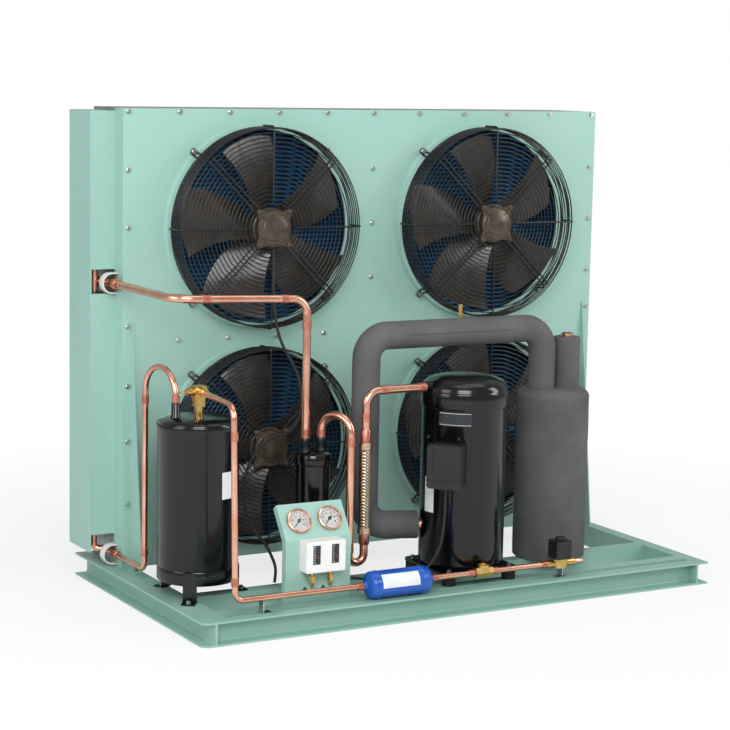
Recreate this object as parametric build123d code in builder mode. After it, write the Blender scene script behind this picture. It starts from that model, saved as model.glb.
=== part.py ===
from build123d import *
from math import asin, atan2, cos, degrees, radians, sin, tan
import os

# Air-cooled refrigeration condensing unit: a welded channel base carries the finned coil with its
# four-fan panel, and in front of it the scroll compressor, receiver, oil separator, suction
# accumulator and their pipework.
# Frame: +Z up, +X to the right along the fan panel, -Y to the front, where the fans blow.
# The origin is the middle of the overall box, on the surface that the base stands on. Millimetres.

os.makedirs("parts", exist_ok=True)

# ---- Driving dimensions ------------------------------------------------------------------------

# Base frame of rolled 63 x 40 channel
channel_height = 63.0
channel_flange = 40.0
channel_wall = 5.0
channel_root = 6.0
base_front = -425.0
base_depth = 850.0
rail_left_web = -735.0
rail_right_web = 760.0
corner_clip = 14.0
member_rear_y = -153.5
bolt_hole_radius = 6.0
foot_hole_inset = 75.0

# Fan panel and the plenum behind it
sheet = 2.0
panel_left = -731.0
panel_width = 1530.0
panel_height = 1249.5
panel_face = 195.0
panel_return = 40.0
plenum_depth = 61.0
fan_pitch_x = 721.0
fan_pitch_z = 607.6

# Fan, taken from the usual 500 mm external-rotor axial fan
fan_radius = 250.0
tip_gap = 7.0
collar_radius = 285.0
collar_height = 12.0
collar_throat = 30.0
guard_bolt_circle = 291.4
guard_bolt_hole = 4.5
guard_wire = 5.0
guard_rim_radius = 278.0
guard_front = 88.0
guard_hub_radius = 69.0
guard_ring_count = 5
guard_side_rings = 2
motor_plate_radius = 62.0
motor_plate_thickness = 8.0
rotor_radius = 57.0
rotor_length = 62.0
blade_count = 5
blade_thickness = 3.0
shaft_radius = 6.0
running_gap = 0.05
screw_pitch = 150.0

# Coil and its covers
coil_depth = 150.0
fin_depth = 130.0
coil_right_space = 74.0
cover_left_reach = 69.0
cover_bottom = 101.0
cover_top = 1304.0
tube_radius = 8.0
bend_count = 8

# Receiver
receiver_x = -659.0
receiver_y = -138.5
receiver_radius = 106.0
receiver_bottom = 106.0
receiver_top = 535.0
receiver_foot_circle = 112.0
receiver_foot_turn = -5.0

# Oil separator
separator_x = -334.0
separator_y = -160.0
separator_radius = 45.0
separator_top = 421.0
separator_stub_pitch = 48.0

# Compressor
compressor_x = 81.0
compressor_radius = 116.0
compressor_foot_pitch = 190.5
compressor_bottom = 98.0
compressor_top = 618.0
compressor_plate = 6.0
grommet_radius = 19.0
skirt_low = 535.0
skirt_high = 578.0

# Suction accumulator and the insulated suction line
accumulator_x = 436.0
accumulator_radius = 103.0
accumulator_foam = 22.0
accumulator_top = 548.0
suction_pipe = 35.0
suction_outer = 76.0
suction_spacing = 84.0
suction_run_z = 719.0
suction_leg_x = -173.0
suction_low_z = 204.0
suction_bend = 62.0
suction_stub_top = 707.0

# Pipe sizes
gas_pipe = 22.0
liquid_pipe = 16.0

# Front liquid line
liquid_y = -387.5
liquid_z = 101.3
drier_left = -302.0
drier_right = -95.0
drier_radius = 37.5
sight_x = 66.0
solenoid_x = 314.0
liquid_end = 389.0

# Gauge panel
gauge_panel_left = -503.0
gauge_panel_width = 190.0
gauge_panel_y = -337.5
gauge_knee = 228.0
gauge_top = 311.0
gauge_slope_run = 58.5
gauge_flange = 20.0
gauge_radius = 34.0
gauge_pitch = 90.0
gauge_depth = 26.0

# ---- Values worked out from them ---------------------------------------------------------------

base_back = base_front + base_depth
rail_left_outer_tip = rail_left_web - channel_flange
rail_left_inner_tip = rail_left_web + channel_flange
rail_right_tip = rail_right_web + channel_flange
front_web_y = base_front + channel_flange
member_front_y = member_rear_y - compressor_foot_pitch
deck = channel_height
panel_right = panel_left + panel_width
panel_middle = panel_left + panel_width / 2
panel_top = deck + panel_height
panel_centre_z = deck + panel_height / 2
coil_front = panel_face + plenum_depth
coil_back = coil_front + coil_depth
coil_right = panel_right - coil_right_space
cover_left = panel_left - cover_left_reach
orifice_radius = fan_radius + tip_gap
compressor_y = member_rear_y - compressor_foot_pitch / 2
accumulator_y = member_rear_y
front_plane = Plane(origin=(0, panel_face, 0), x_dir=(1, 0, 0), z_dir=(0, -1, 0))
fan_spots = {
    "upper_left": (panel_middle - fan_pitch_x / 2, panel_centre_z + fan_pitch_z / 2),
    "upper_right": (panel_middle + fan_pitch_x / 2, panel_centre_z + fan_pitch_z / 2),
    "lower_left": (panel_middle - fan_pitch_x / 2, panel_centre_z - fan_pitch_z / 2),
    "lower_right": (panel_middle + fan_pitch_x / 2, panel_centre_z - fan_pitch_z / 2),
}
fan_locations = [Location(front_plane.from_local_coords((x, z, 0))) for x, z in fan_spots.values()]


# ---- Helpers -----------------------------------------------------------------------------------

def save(part, label):
    part.label = label
    export_step(part, f"parts/{label}.step")


def fan_place(x, z):
    """Where a fan made about the origin, blowing along +Z, goes in the panel."""
    return Plane(origin=(x, panel_face, z), x_dir=(1, 0, 0), z_dir=(0, -1, 0)).location


def tube(points, radii, outer, inner=0.0):
    """A pipe along straight runs joined by tangent arcs, hollow where it has an inner diameter."""
    with BuildPart() as pipe:
        with BuildLine() as route:
            FilletPolyline(*points, radius=radii)
        with BuildSketch(Plane(origin=route.line @ 0, z_dir=route.line % 0)):
            Circle(outer / 2)
            if inner:
                Circle(inner / 2, mode=Mode.SUBTRACT)
        sweep(path=route.line)
    return pipe.part


def rod(start, end, outer):
    """A straight round bar or sleeve between two points."""
    line = Line(start, end)
    with BuildPart() as bar:
        with BuildSketch(Plane(origin=line @ 0, z_dir=line % 0)):
            Circle(outer / 2)
        extrude(amount=line.length)
    return bar.part


def hex_bolt(plane, head_across, head_height, washer_radius, washer_height, shank_radius, shank):
    """Washer and hexagon head standing on a plane, with its shank below the plane."""
    with BuildPart() as bolt:
        with BuildSketch(plane):
            Circle(washer_radius)
        extrude(amount=washer_height)
        with BuildSketch(plane.offset(washer_height)):
            RegularPolygon(head_across / 2, 6, major_radius=False)
        extrude(amount=head_height)
        if shank:
            with BuildSketch(plane):
                Circle(shank_radius)
            extrude(amount=-shank)
    return bolt.part


def solid_list(parts):
    return Compound(children=list(parts))


def channel_profile(plane):
    """Rolled channel section with its web's back on the local Y axis and its flanges along +X."""
    with BuildSketch(plane) as profile:
        with BuildLine():
            Polyline(
                (0, 0),
                (channel_flange, 0),
                (channel_flange, channel_wall),
                (channel_wall, channel_wall),
                (channel_wall, channel_height - channel_wall),
                (channel_flange, channel_height - channel_wall),
                (channel_flange, channel_height),
                (0, channel_height),
                close=True,
            )
        make_face()
        inner = profile.vertices().filter_by_position(Axis.X, channel_wall - 1, channel_wall + 1)
        fillet(inner, radius=channel_root)
    return profile.sketch


# ---- Base frame --------------------------------------------------------------------------------

# Side rails run front to back. A profile plane that looks along +Y has its local X along -X or +X.
outward_left = Plane(origin=(rail_left_web, base_front, 0), x_dir=(-1, 0, 0), z_dir=(0, 1, 0))
outward_right = Plane(origin=(rail_right_web, base_back, 0), x_dir=(1, 0, 0), z_dir=(0, -1, 0))
inward_left = Plane(origin=(rail_left_web, base_back, 0), x_dir=(1, 0, 0), z_dir=(0, -1, 0))

foot_hole_y = (base_front + foot_hole_inset, base_back - foot_hole_inset)
left_hole_x = rail_left_web - channel_flange * 0.6
right_hole_x = rail_right_web + channel_flange * 0.6

with BuildPart() as rail_left_outer:
    add(channel_profile(outward_left))
    extrude(amount=base_depth, dir=(0, 1, 0))
    clipped = rail_left_outer.edges().filter_by(Axis.Z)
    tip = clipped.group_by(Axis.X)[0].group_by(Axis.Y)[0]
    chamfer(tip, length=corner_clip)
    with BuildSketch(Plane.XY):
        with Locations(*[(left_hole_x, y) for y in foot_hole_y]):
            Circle(bolt_hole_radius)
    extrude(amount=channel_wall + 1, mode=Mode.SUBTRACT)
save(rail_left_outer.part, "rail_left_outer")

with BuildPart() as rail_left_inner:
    add(channel_profile(inward_left))
    extrude(amount=base_depth - channel_flange, dir=(0, -1, 0))
save(rail_left_inner.part, "rail_left_inner")

with BuildPart() as rail_right:
    add(channel_profile(outward_right))
    extrude(amount=base_depth, dir=(0, -1, 0))
    with BuildSketch(Plane.XY):
        with Locations(*[(right_hole_x, y) for y in foot_hole_y]):
            Circle(bolt_hole_radius)
    extrude(amount=channel_wall + 1, mode=Mode.SUBTRACT)
save(rail_right.part, "rail_right")

# The front rail faces forward between the side rails' webs
with BuildPart() as rail_front:
    add(channel_profile(Plane(origin=(rail_right_web, front_web_y, 0), x_dir=(0, -1, 0), z_dir=(-1, 0, 0))))
    extrude(amount=rail_right_web - rail_left_web, dir=(-1, 0, 0))
save(rail_front.part, "rail_front")

# Two cross members carry the compressor and the vessels, their webs to the front
member_length = rail_right_web - rail_left_inner_tip
for label, middle_y in (("crossmember_front", member_front_y), ("crossmember_rear", member_rear_y)):
    web_y = middle_y - channel_flange / 2
    with BuildPart() as crossmember:
        add(channel_profile(Plane(origin=(rail_left_inner_tip, web_y, 0), x_dir=(0, 1, 0), z_dir=(1, 0, 0))))
        extrude(amount=member_length, dir=(1, 0, 0))
    save(crossmember.part, label)

# ---- Fan panel, plenum and its partitions ------------------------------------------------------

# Pressed collar round each orifice: a short cone up from the panel, a flat lip and a rounded throat
collar_slope = 4.0
collar_lip = orifice_radius + collar_height - sheet
with BuildPart() as collar:
    with BuildSketch(Plane.XZ):
        with BuildLine():
            outer_slope = Polyline(
                (collar_radius, 0), (collar_radius - collar_slope, collar_height), (collar_lip, collar_height))
            throat = RadiusArc(outer_slope @ 1, (orifice_radius, sheet), collar_height - sheet)
            back_line = Polyline(
                throat @ 1,
                (orifice_radius, -collar_throat),
                (orifice_radius + sheet, -collar_throat),
                (orifice_radius + sheet, sheet),
            )
            inner_throat = RadiusArc(
                back_line @ 1, (collar_lip, collar_height - sheet), collar_height - 2 * sheet)
            Polyline(
                inner_throat @ 1,
                (collar_radius - collar_slope - sheet, collar_height - sheet),
                (collar_radius - sheet, 0),
                outer_slope @ 0,
            )
        make_face()
    revolve(axis=Axis.Z)

with BuildPart() as fan_panel:
    with BuildSketch(front_plane):
        with Locations((panel_middle, panel_centre_z)):
            Rectangle(panel_width, panel_height)
    extrude(amount=-panel_return)
    with BuildSketch(front_plane.offset(-sheet)):
        with Locations((panel_middle, panel_centre_z)):
            Rectangle(panel_width - 2 * sheet, panel_height - 2 * sheet)
    extrude(amount=-panel_return, mode=Mode.SUBTRACT)
    with BuildSketch(front_plane):
        with Locations(*fan_spots.values()):
            Circle(collar_radius - sheet)
    extrude(amount=-sheet, mode=Mode.SUBTRACT)
    for x, z in fan_spots.values():
        add(fan_place(x, z) * collar.part)
    with BuildSketch(front_plane):
        with Locations(*fan_spots.values()):
            with PolarLocations(guard_bolt_circle, 4, start_angle=45):
                Circle(guard_bolt_hole)
    extrude(amount=-sheet, mode=Mode.SUBTRACT)
save(fan_panel.part, "fan_panel")

# The plenum is a four-sided sheet frame inside the panel's returns, back to the coil
plenum_outer_width = panel_width - 2 * sheet
plenum_outer_height = panel_height - 2 * sheet
plenum_start = panel_face + sheet
with BuildPart() as plenum_wrap:
    with BuildSketch(front_plane.offset(-sheet)):
        with Locations((panel_middle, panel_centre_z)):
            Rectangle(plenum_outer_width, plenum_outer_height)
            Rectangle(plenum_outer_width - 2 * sheet, plenum_outer_height - 2 * sheet, mode=Mode.SUBTRACT)
    extrude(amount=-(coil_front - plenum_start))
save(plenum_wrap.part, "plenum_wrap")

# A cross-shaped partition parts the four fans, so that one can stop without short-circuiting
divider_flange = 18.0
divider_span = plenum_outer_width - 2 * sheet
divider_rise = plenum_outer_height - 2 * sheet
divider_sheets = []
for thickness, start, depth in ((divider_flange, plenum_start, sheet),
                                (sheet, plenum_start + sheet, coil_front - plenum_start - sheet)):
    middle_y = start + depth / 2
    half_span = (divider_span - thickness) / 2
    divider_sheets.append(Pos(panel_middle, middle_y, panel_centre_z) * Box(thickness, depth, divider_rise))
    for side in (-1, 1):
        level_x = panel_middle + side * (thickness + half_span) / 2
        divider_sheets.append(Pos(level_x, middle_y, panel_centre_z) * Box(half_span, depth, thickness))
plenum_divider = Compound(divider_sheets)
save(plenum_divider, "plenum_divider")

# ---- Coil, headers and end covers --------------------------------------------------------------

fin_front = coil_front + (coil_depth - fin_depth) / 2
fin_left = panel_left + 2 * sheet
fin_bottom = deck + sheet
fin_height = panel_height - 2 * sheet
fin_plane = Plane(origin=(0, fin_front, 0), x_dir=(1, 0, 0), z_dir=(0, -1, 0))
coil_plane = Plane(origin=(0, coil_front, 0), x_dir=(1, 0, 0), z_dir=(0, -1, 0))
with BuildPart() as coil_block:
    with BuildSketch(fin_plane):
        with Locations(((fin_left + coil_right) / 2, panel_centre_z)):
            Rectangle(coil_right - fin_left, fin_height)
    extrude(amount=-fin_depth)
save(coil_block.part, "coil_block")


def tube_sheet(x, outward):
    """End plate of the coil with its two flanges turned away from the fins."""
    flange = 2 * sheet + 8
    with BuildPart() as plate:
        with BuildSketch(Plane.XY.offset(deck)):
            with Locations((x, coil_front)):
                Rectangle(sheet, coil_depth, align=(Align.MIN, Align.MIN))
            for y in (coil_front, coil_back - sheet):
                with Locations((x if outward > 0 else x + sheet - flange, y)):
                    Rectangle(flange, sheet, align=(Align.MIN, Align.MIN))
        extrude(amount=panel_height)
    return plate.part


# The left plate's flanges turn inwards over the fins' edges, the right plate's turn outwards
left_sheet = tube_sheet(panel_left + sheet, 1)
right_sheet = tube_sheet(coil_right, 1)

plate_left = fin_left + 2 * sheet + 8 - sheet
casing = [left_sheet, right_sheet]
for z in (deck, panel_top - sheet):
    with BuildPart() as plate:
        with BuildSketch(Plane.XY.offset(z)):
            with Locations((plate_left, coil_front)):
                Rectangle(coil_right - plate_left, coil_depth, align=(Align.MIN, Align.MIN))
        extrude(amount=sheet)
    casing.append(plate.part)
save(solid_list(casing), "coil_casing")

# Each U-bend joins two tubes where they come through the tube sheet
bend_span = 25.4
bend_reach = 26.0
fin_tube = 9.5
tube_row_y = fin_front + fin_depth * 0.7
bend_pitch = fin_height / bend_count


def u_bend(face_x, side, low_z):
    near = (face_x, tube_row_y, low_z)
    corner_a = (face_x + side * bend_reach, tube_row_y, low_z)
    corner_b = (face_x + side * bend_reach, tube_row_y, low_z + bend_span)
    far = (face_x, tube_row_y, low_z + bend_span)
    return tube([near, corner_a, corner_b, far], [bend_span / 2 - 0.1] * 2, fin_tube)


bends = []
for index in range(bend_count):
    low_z = fin_bottom + bend_pitch * (index + 0.5) - bend_span / 2
    bends.append(u_bend(panel_left + sheet, -1, low_z))
    bends.append(u_bend(coil_right + sheet, 1, low_z))
save(solid_list(bends), "return_bends")

# Headers: the hot gas comes in by the upper one and the liquid leaves by the lower one
header_x = panel_left - 40.0
header_y = coil_front + 44.0
header_outer = 24.0
header_low_top = 600.0
header_high_bottom = 690.0
header_high_top = 1240.0
hot_gas_x = panel_left - 15.0
hot_gas_z = 843.0
condensate_x = panel_left - 11.0
condensate_z = 101.0
line_start_y = coil_front + 8.0
feeder_pitch = 90.0
with BuildPart() as coil_headers:
    add(rod((header_x, header_y, header_high_bottom), (header_x, header_y, header_high_top), header_outer))
    add(tube(
        [
            (header_x, header_y, hot_gas_z),
            (hot_gas_x, header_y, hot_gas_z),
            (hot_gas_x, line_start_y, hot_gas_z),
        ],
        [gas_pipe / 2 + 3], gas_pipe))
    add(tube(
        [
            (header_x, header_y, header_low_top),
            (header_x, header_y, condensate_z),
            (condensate_x, header_y - 16, condensate_z),
            (condensate_x, line_start_y, condensate_z),
        ],
        [14, 11], liquid_pipe + 4))
    feeder_low = [condensate_z + 80 + feeder_pitch * step for step in range(5)]
    feeder_high = [header_high_bottom + 30 + feeder_pitch * step for step in range(6)]
    for z in feeder_low + feeder_high:
        add(rod((header_x, header_y, z), (panel_left + sheet, header_y, z), fin_tube))
save(coil_headers.part, "coil_headers")

# Left end cover: a folded channel over the return bends, notched where the two pipes come out
cover_back_return = 40.0
notch_edge = 4.0
upper_notch = (813.0, 879.0)
lower_notch_top = 149.0
cover_inner_x = panel_left + sheet
with BuildPart() as end_cover_left:
    with BuildSketch(Plane.XY.offset(cover_bottom)):
        with Locations((cover_left, coil_front)):
            Rectangle(sheet, coil_depth, align=(Align.MIN, Align.MIN))
            Rectangle(cover_inner_x - cover_left, sheet, align=(Align.MIN, Align.MIN))
        with Locations((cover_left, coil_back)):
            Rectangle(cover_back_return, sheet, align=(Align.MIN, Align.MAX))
    extrude(amount=cover_top - cover_bottom)
    with BuildSketch(Plane.XY.offset(cover_top - sheet)):
        with Locations((cover_left, coil_front)):
            Rectangle(cover_inner_x - cover_left, coil_depth, align=(Align.MIN, Align.MIN))
    extrude(amount=sheet)
    with BuildSketch(coil_plane):
        with Locations((cover_left + notch_edge, upper_notch[0])):
            Rectangle(cover_inner_x - cover_left, upper_notch[1] - upper_notch[0],
                      align=(Align.MIN, Align.MIN))
        with Locations((cover_left + notch_edge, cover_bottom)):
            Rectangle(cover_inner_x - cover_left, lower_notch_top - cover_bottom,
                      align=(Align.MIN, Align.MIN))
    extrude(amount=-sheet, mode=Mode.SUBTRACT)
save(end_cover_left.part, "end_cover_left")

# Right end cover: flush with the panel, from the right tube sheet's flange out to the side
right_strip = coil_right + 2 * sheet + 8
with BuildPart() as end_cover_right:
    with BuildSketch(Plane.XY.offset(deck)):
        with Locations((panel_right, coil_front)):
            Rectangle(sheet, coil_depth, align=(Align.MAX, Align.MIN))
        for y in (coil_front, coil_back - sheet):
            with Locations((right_strip, y)):
                Rectangle(panel_right - right_strip, sheet, align=(Align.MIN, Align.MIN))
    extrude(amount=panel_height)
    with BuildSketch(Plane.XY.offset(panel_top - sheet)):
        with Locations((coil_right + sheet, coil_front)):
            Rectangle(panel_right - coil_right - sheet, coil_depth, align=(Align.MIN, Align.MIN))
    extrude(amount=sheet)
    with BuildSketch(Plane.XY.offset(panel_top - sheet)):
        with Locations((coil_right + sheet, coil_front)):
            Rectangle(2 * sheet + 6, sheet, align=(Align.MIN, Align.MIN))
        with Locations((coil_right + sheet, coil_back)):
            Rectangle(2 * sheet + 6, sheet, align=(Align.MIN, Align.MAX))
    extrude(amount=sheet, mode=Mode.SUBTRACT)
save(end_cover_right.part, "end_cover_right")

# White U-shaped trims round the two pipes, between the end cover and the panel's return
trim_radius = 28.0
trim_wall = 3.0
trim_length = 26.0
condensate_trim_z = 95.0


def pipe_trim(x, z):
    with BuildPart() as trim:
        with BuildSketch(coil_plane):
            with Locations((x, z)):
                Circle(trim_radius)
                Circle(trim_radius - trim_wall, mode=Mode.SUBTRACT)
            with Locations((x, z)):
                Rectangle(2 * trim_radius, 2 * trim_radius, align=(Align.MIN, Align.CENTER),
                          mode=Mode.SUBTRACT)
            for leg_z in (z + trim_radius - trim_wall / 2, z - trim_radius + trim_wall / 2):
                with Locations((x, leg_z)):
                    Rectangle(panel_left - x, trim_wall, align=(Align.MIN, Align.CENTER))
        extrude(amount=trim_length)
    return trim.part


trims = [pipe_trim(hot_gas_x, hot_gas_z), pipe_trim(condensate_x, condensate_trim_z)]
save(solid_list(trims), "pipe_trims")

# ---- Braces from the base to the panel ---------------------------------------------------------

brace_height = 679.0
brace_foot = 83.0
brace_plate = 3.0
brace_flange = 20.0
brace_inset = 27.0


def brace(x, side):
    """Triangular gusset with a foot flange and a panel flange, both turned to one side."""
    with BuildPart() as gusset:
        with BuildSketch(Plane.YZ.offset(x)):
            with BuildLine():
                Polyline(
                    (panel_face, deck), (panel_face, deck + brace_height),
                    (panel_face - brace_plate, deck + brace_height),
                    (panel_face - brace_foot, deck + brace_plate), (panel_face - brace_foot, deck),
                    close=True,
                )
            make_face()
        extrude(amount=side * brace_plate)
        flange_x = x if side < 0 else x
        with BuildSketch(Plane.XY.offset(deck)):
            with Locations((flange_x, panel_face - brace_foot)):
                Rectangle(brace_flange, brace_foot,
                          align=(Align.MAX if side < 0 else Align.MIN, Align.MIN))
        extrude(amount=brace_plate)
        with BuildSketch(Plane.XY.offset(deck)):
            with Locations((flange_x, panel_face)):
                Rectangle(brace_flange, brace_plate,
                          align=(Align.MAX if side < 0 else Align.MIN, Align.MAX))
        extrude(amount=brace_height * 0.45)
    return gusset.part


brace_left_x = panel_left + brace_inset
brace_right_x = rail_right_web + 11.0
save(solid_list([brace(brace_left_x, -1), brace(brace_right_x, 1)]), "braces")

# ---- Fans --------------------------------------------------------------------------------------

# Everything in a fan is made about its own axis, with the panel's face at zero and the air
# blown along +Z, then set into the panel.
rotor_front = guard_front - 8.0
rotor_back = rotor_front - rotor_length
blade_middle = rotor_back + 14.0
plate_back = guard_front + guard_wire / 2 + 0.1
neck_radius = 44.0
shaft_end = rotor_back + 10.0

blade_start_angle = 102.0
# Root, middle and tip of a blade: radius, sweep ahead of the radial line, chord and pitch
blade_stations = (
    (rotor_radius - 7, 0.0, 92.0, 34.0),
    (150.0, -14.0, 150.0, 25.0),
    (fan_radius + 14, 26.0, 205.0, 17.0),
)
with BuildPart() as blade:
    for radius, sweep_ahead, chord, pitch in blade_stations:
        turn = radians(pitch)
        station = Plane(origin=(radius, sweep_ahead, blade_middle), x_dir=(0, cos(turn), sin(turn)),
                        z_dir=(1, 0, 0))
        with BuildSketch(station):
            Rectangle(chord, blade_thickness)
    loft()
    with BuildSketch(Plane.XY.offset(blade_middle - 60)):
        Circle(fan_radius)
    extrude(amount=120, mode=Mode.INTERSECT)

with BuildPart() as impeller:
    with BuildSketch(Plane.XY.offset(rotor_back)):
        Circle(rotor_radius)
    extrude(amount=rotor_length)
    fillet(impeller.edges().filter_by(GeomType.CIRCLE), radius=5)
    with PolarLocations(0, blade_count, start_angle=blade_start_angle):
        add(blade.part)
    with BuildSketch(Plane.XY.offset(rotor_front)):
        Circle(shaft_radius + running_gap)
    extrude(amount=-(rotor_front - shaft_end + 2), mode=Mode.SUBTRACT)

# Motor: a four-lobed end plate over the guard's hub ring, a neck and the fixed shaft
lobe_circle = guard_hub_radius - 4.0
with BuildPart() as motor:
    with BuildSketch(Plane.XY.offset(plate_back)):
        Circle(motor_plate_radius - 6)
        with PolarLocations(lobe_circle, 4, start_angle=45):
            Circle(11)
        with PolarLocations(lobe_circle / 2, 4, start_angle=45):
            Rectangle(lobe_circle, 22)
    extrude(amount=motor_plate_thickness)
    with BuildSketch(Plane.XY.offset(plate_back + motor_plate_thickness)):
        Circle(motor_plate_radius * 0.62)
    extrude(amount=4, taper=20)
    with BuildSketch(Plane.XY.offset(plate_back)):
        Circle(neck_radius)
    extrude(amount=-(plate_back - rotor_front - 2))
    with BuildSketch(Plane.XY.offset(plate_back)):
        Circle(shaft_radius)
    extrude(amount=-(plate_back - shaft_end))
    with BuildSketch(Plane.XY.offset(plate_back + motor_plate_thickness)):
        with PolarLocations(lobe_circle, 4, start_angle=45):
            RegularPolygon(6, 6)
    extrude(amount=4)

# Guard: concentric wire rings on spokes, a deep rim, and four twin-wire arms down to the bolts
wire_radius = guard_wire / 2
arm_half_gap = 7.0
eyelet_radius = 10.5
eyelet_z = collar_height + wire_radius
spoke_z = guard_front
ring_z = guard_front - guard_wire + 1
ring_step = (guard_rim_radius - guard_hub_radius) / guard_ring_count
side_step = (ring_z - eyelet_z - 8) / guard_side_rings
rings = [
    Pos(0, 0, spoke_z if step == 0 else ring_z) * Torus(guard_hub_radius + ring_step * step, wire_radius)
    for step in range(guard_ring_count)
]
rings += [
    Pos(0, 0, ring_z - 4 - side_step * step) * Torus(guard_rim_radius - guard_wire + 1, wire_radius)
    for step in range(guard_side_rings)
]
spoke = tube(
    [
        (guard_hub_radius, 0, spoke_z),
        (guard_rim_radius, 0, spoke_z),
        (guard_rim_radius, 0, eyelet_z + 8),
    ],
    [12], guard_wire)
arms = [
    tube(
        [
            (guard_hub_radius, side * arm_half_gap, spoke_z),
            (guard_rim_radius - 14, side * arm_half_gap, spoke_z),
            (guard_bolt_circle - 13, side * arm_half_gap, eyelet_z),
            (guard_bolt_circle, side * arm_half_gap, eyelet_z),
        ],
        [14, 4], guard_wire)
    for side in (-1, 1)
]
eyelet = Pos(guard_bolt_circle, 0, eyelet_z) * (Cylinder(eyelet_radius, 4) - Cylinder(5, 4))
quarters = [Rot(0, 0, turn) for turn in (0, 90, 180, 270)]
diagonals = [Rot(0, 0, turn) for turn in (45, 135, 225, 315)]
guard_wires = rings + [turn * spoke for turn in quarters]
guard_wires += [turn * wire for turn in diagonals for wire in (*arms, eyelet)]

# Flanged bolt and its spacer at each eyelet
with BuildPart() as guard_bolt:
    with BuildSketch(Plane.XY):
        Circle(arm_half_gap - 1)
    extrude(amount=collar_height)
    with BuildSketch(Plane.XY.offset(-12)):
        Circle(4)
    extrude(amount=12 + eyelet_z + wire_radius)
    with BuildSketch(Plane.XY.offset(eyelet_z + wire_radius)):
        Circle(arm_half_gap + 0.2)
    extrude(amount=2)
    with BuildSketch(Plane.XY.offset(eyelet_z + wire_radius + 2)):
        RegularPolygon(7, 6)
    extrude(amount=7)

motors = []
bolts = []
for name, (x, z) in fan_spots.items():
    place = fan_place(x, z)
    save(place * impeller.part, f"impeller_{name}")
    save(solid_list(place * wire for wire in guard_wires), f"fan_guard_{name}")
    motors.append(place * motor.part)
    for corner in PolarLocations(guard_bolt_circle, 4, start_angle=45):
        bolts.append(place * corner * guard_bolt.part)
save(solid_list(motors), "fan_motors")
save(solid_list(bolts), "guard_bolts")

# ---- Screws and bolts --------------------------------------------------------------------------

screw_pitch_first = panel_left + 15.0
screw_top_z = panel_top - 8.8
# Rows of screws from the panel's middle, so that they stay between the fans
screw_middle_drop = 3.55
screw_side_rises = (460.25, 305.75, 151.25, 39.75, -123.25, -274.55)
screw_middle_z = panel_centre_z - screw_middle_drop
screw_side_z = [panel_centre_z + rise for rise in screw_side_rises]
screw_brace_z = 240.8
screw_right_x = screw_pitch_first + 10 * screw_pitch


def panel_screw(x, z, stand_off=0.0):
    """Hexagon washer-head screw on the panel's face."""
    plane = Plane(origin=(x, panel_face - stand_off, z), x_dir=(1, 0, 0), z_dir=(0, -1, 0))
    return hex_bolt(plane, 10, 5, 7, 1.2, 0, 0)


spots = [(screw_pitch_first + screw_pitch * step, screw_top_z) for step in range(11)]
spots += [(screw_pitch_first + screw_pitch * step, screw_middle_z) for step in range(1, 10)]
spots += [(x, z) for x in (screw_pitch_first, screw_right_x) for z in screw_side_z]
spots += [(panel_middle, z) for z in screw_side_z if abs(z - screw_middle_z) > 60]
screws = [panel_screw(x, z) for x, z in spots]
screws += [panel_screw(x, screw_brace_z, brace_plate) for x in (screw_pitch_first, screw_right_x)]
save(solid_list(screws), "panel_screws")

# ---- Compressor --------------------------------------------------------------------------------

compressor_centre = (compressor_x, compressor_y, 0)
skirt_radius = compressor_radius + 3
plate_half = compressor_foot_pitch / 2 + 22
compressor_stub_z = 588.0
compressor_stub_x = compressor_x - skirt_radius - 5
with BuildPart() as compressor_shell:
    with BuildSketch(Plane(origin=compressor_centre, x_dir=(1, 0, 0), z_dir=(0, -1, 0))):
        with BuildLine():
            Polyline(
                (0, compressor_bottom), (compressor_radius - 8, compressor_bottom),
                (compressor_radius, compressor_bottom + 12), (compressor_radius, skirt_low),
                (skirt_radius, skirt_low), (skirt_radius, skirt_high),
            )
            Spline(
                (skirt_radius, skirt_high), (skirt_radius - 22, compressor_top - 12), (0, compressor_top),
                tangents=[(0, 1), (-1, 0)],
            )
            Line((0, compressor_top), (0, compressor_bottom))
        make_face()
    revolve(axis=Axis(compressor_centre, (0, 0, 1)))
    with BuildSketch(Plane(origin=(compressor_x, compressor_y, compressor_bottom - compressor_plate))):
        RectangleRounded(2 * plate_half, 2 * plate_half, 24)
    extrude(amount=compressor_plate)
    add(rod((compressor_stub_x + 40, compressor_y, compressor_stub_z),
            (compressor_stub_x, compressor_y, compressor_stub_z), gas_pipe + 8))
save(compressor_shell.part, "compressor_shell")

with BuildPart() as grommets:
    with BuildSketch(Plane(origin=(compressor_x, compressor_y, deck))):
        with GridLocations(compressor_foot_pitch, compressor_foot_pitch, 2, 2):
            Circle(grommet_radius)
    extrude(amount=compressor_bottom - compressor_plate - deck)
save(grommets.part, "compressor_grommets")

# Terminal box: a rounded box against the shell, with a lid that has a clipped corner
box_turn = 49.0
box_width = 86.0
box_low = 334.0
box_high = 448.0
box_reach = 62.0
box_wall = 3.0
lid_thickness = 4.0
box_out = (-sin(radians(box_turn)), -cos(radians(box_turn)), 0)
box_across = (cos(radians(box_turn)), -sin(radians(box_turn)), 0)
box_face = compressor_radius + box_reach
box_middle_z = (box_low + box_high) / 2


def box_plane(reach):
    centre = Vector(compressor_x, compressor_y, box_middle_z) + Vector(*box_out) * reach
    return Plane(origin=centre, x_dir=box_across, z_dir=box_out)


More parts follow.
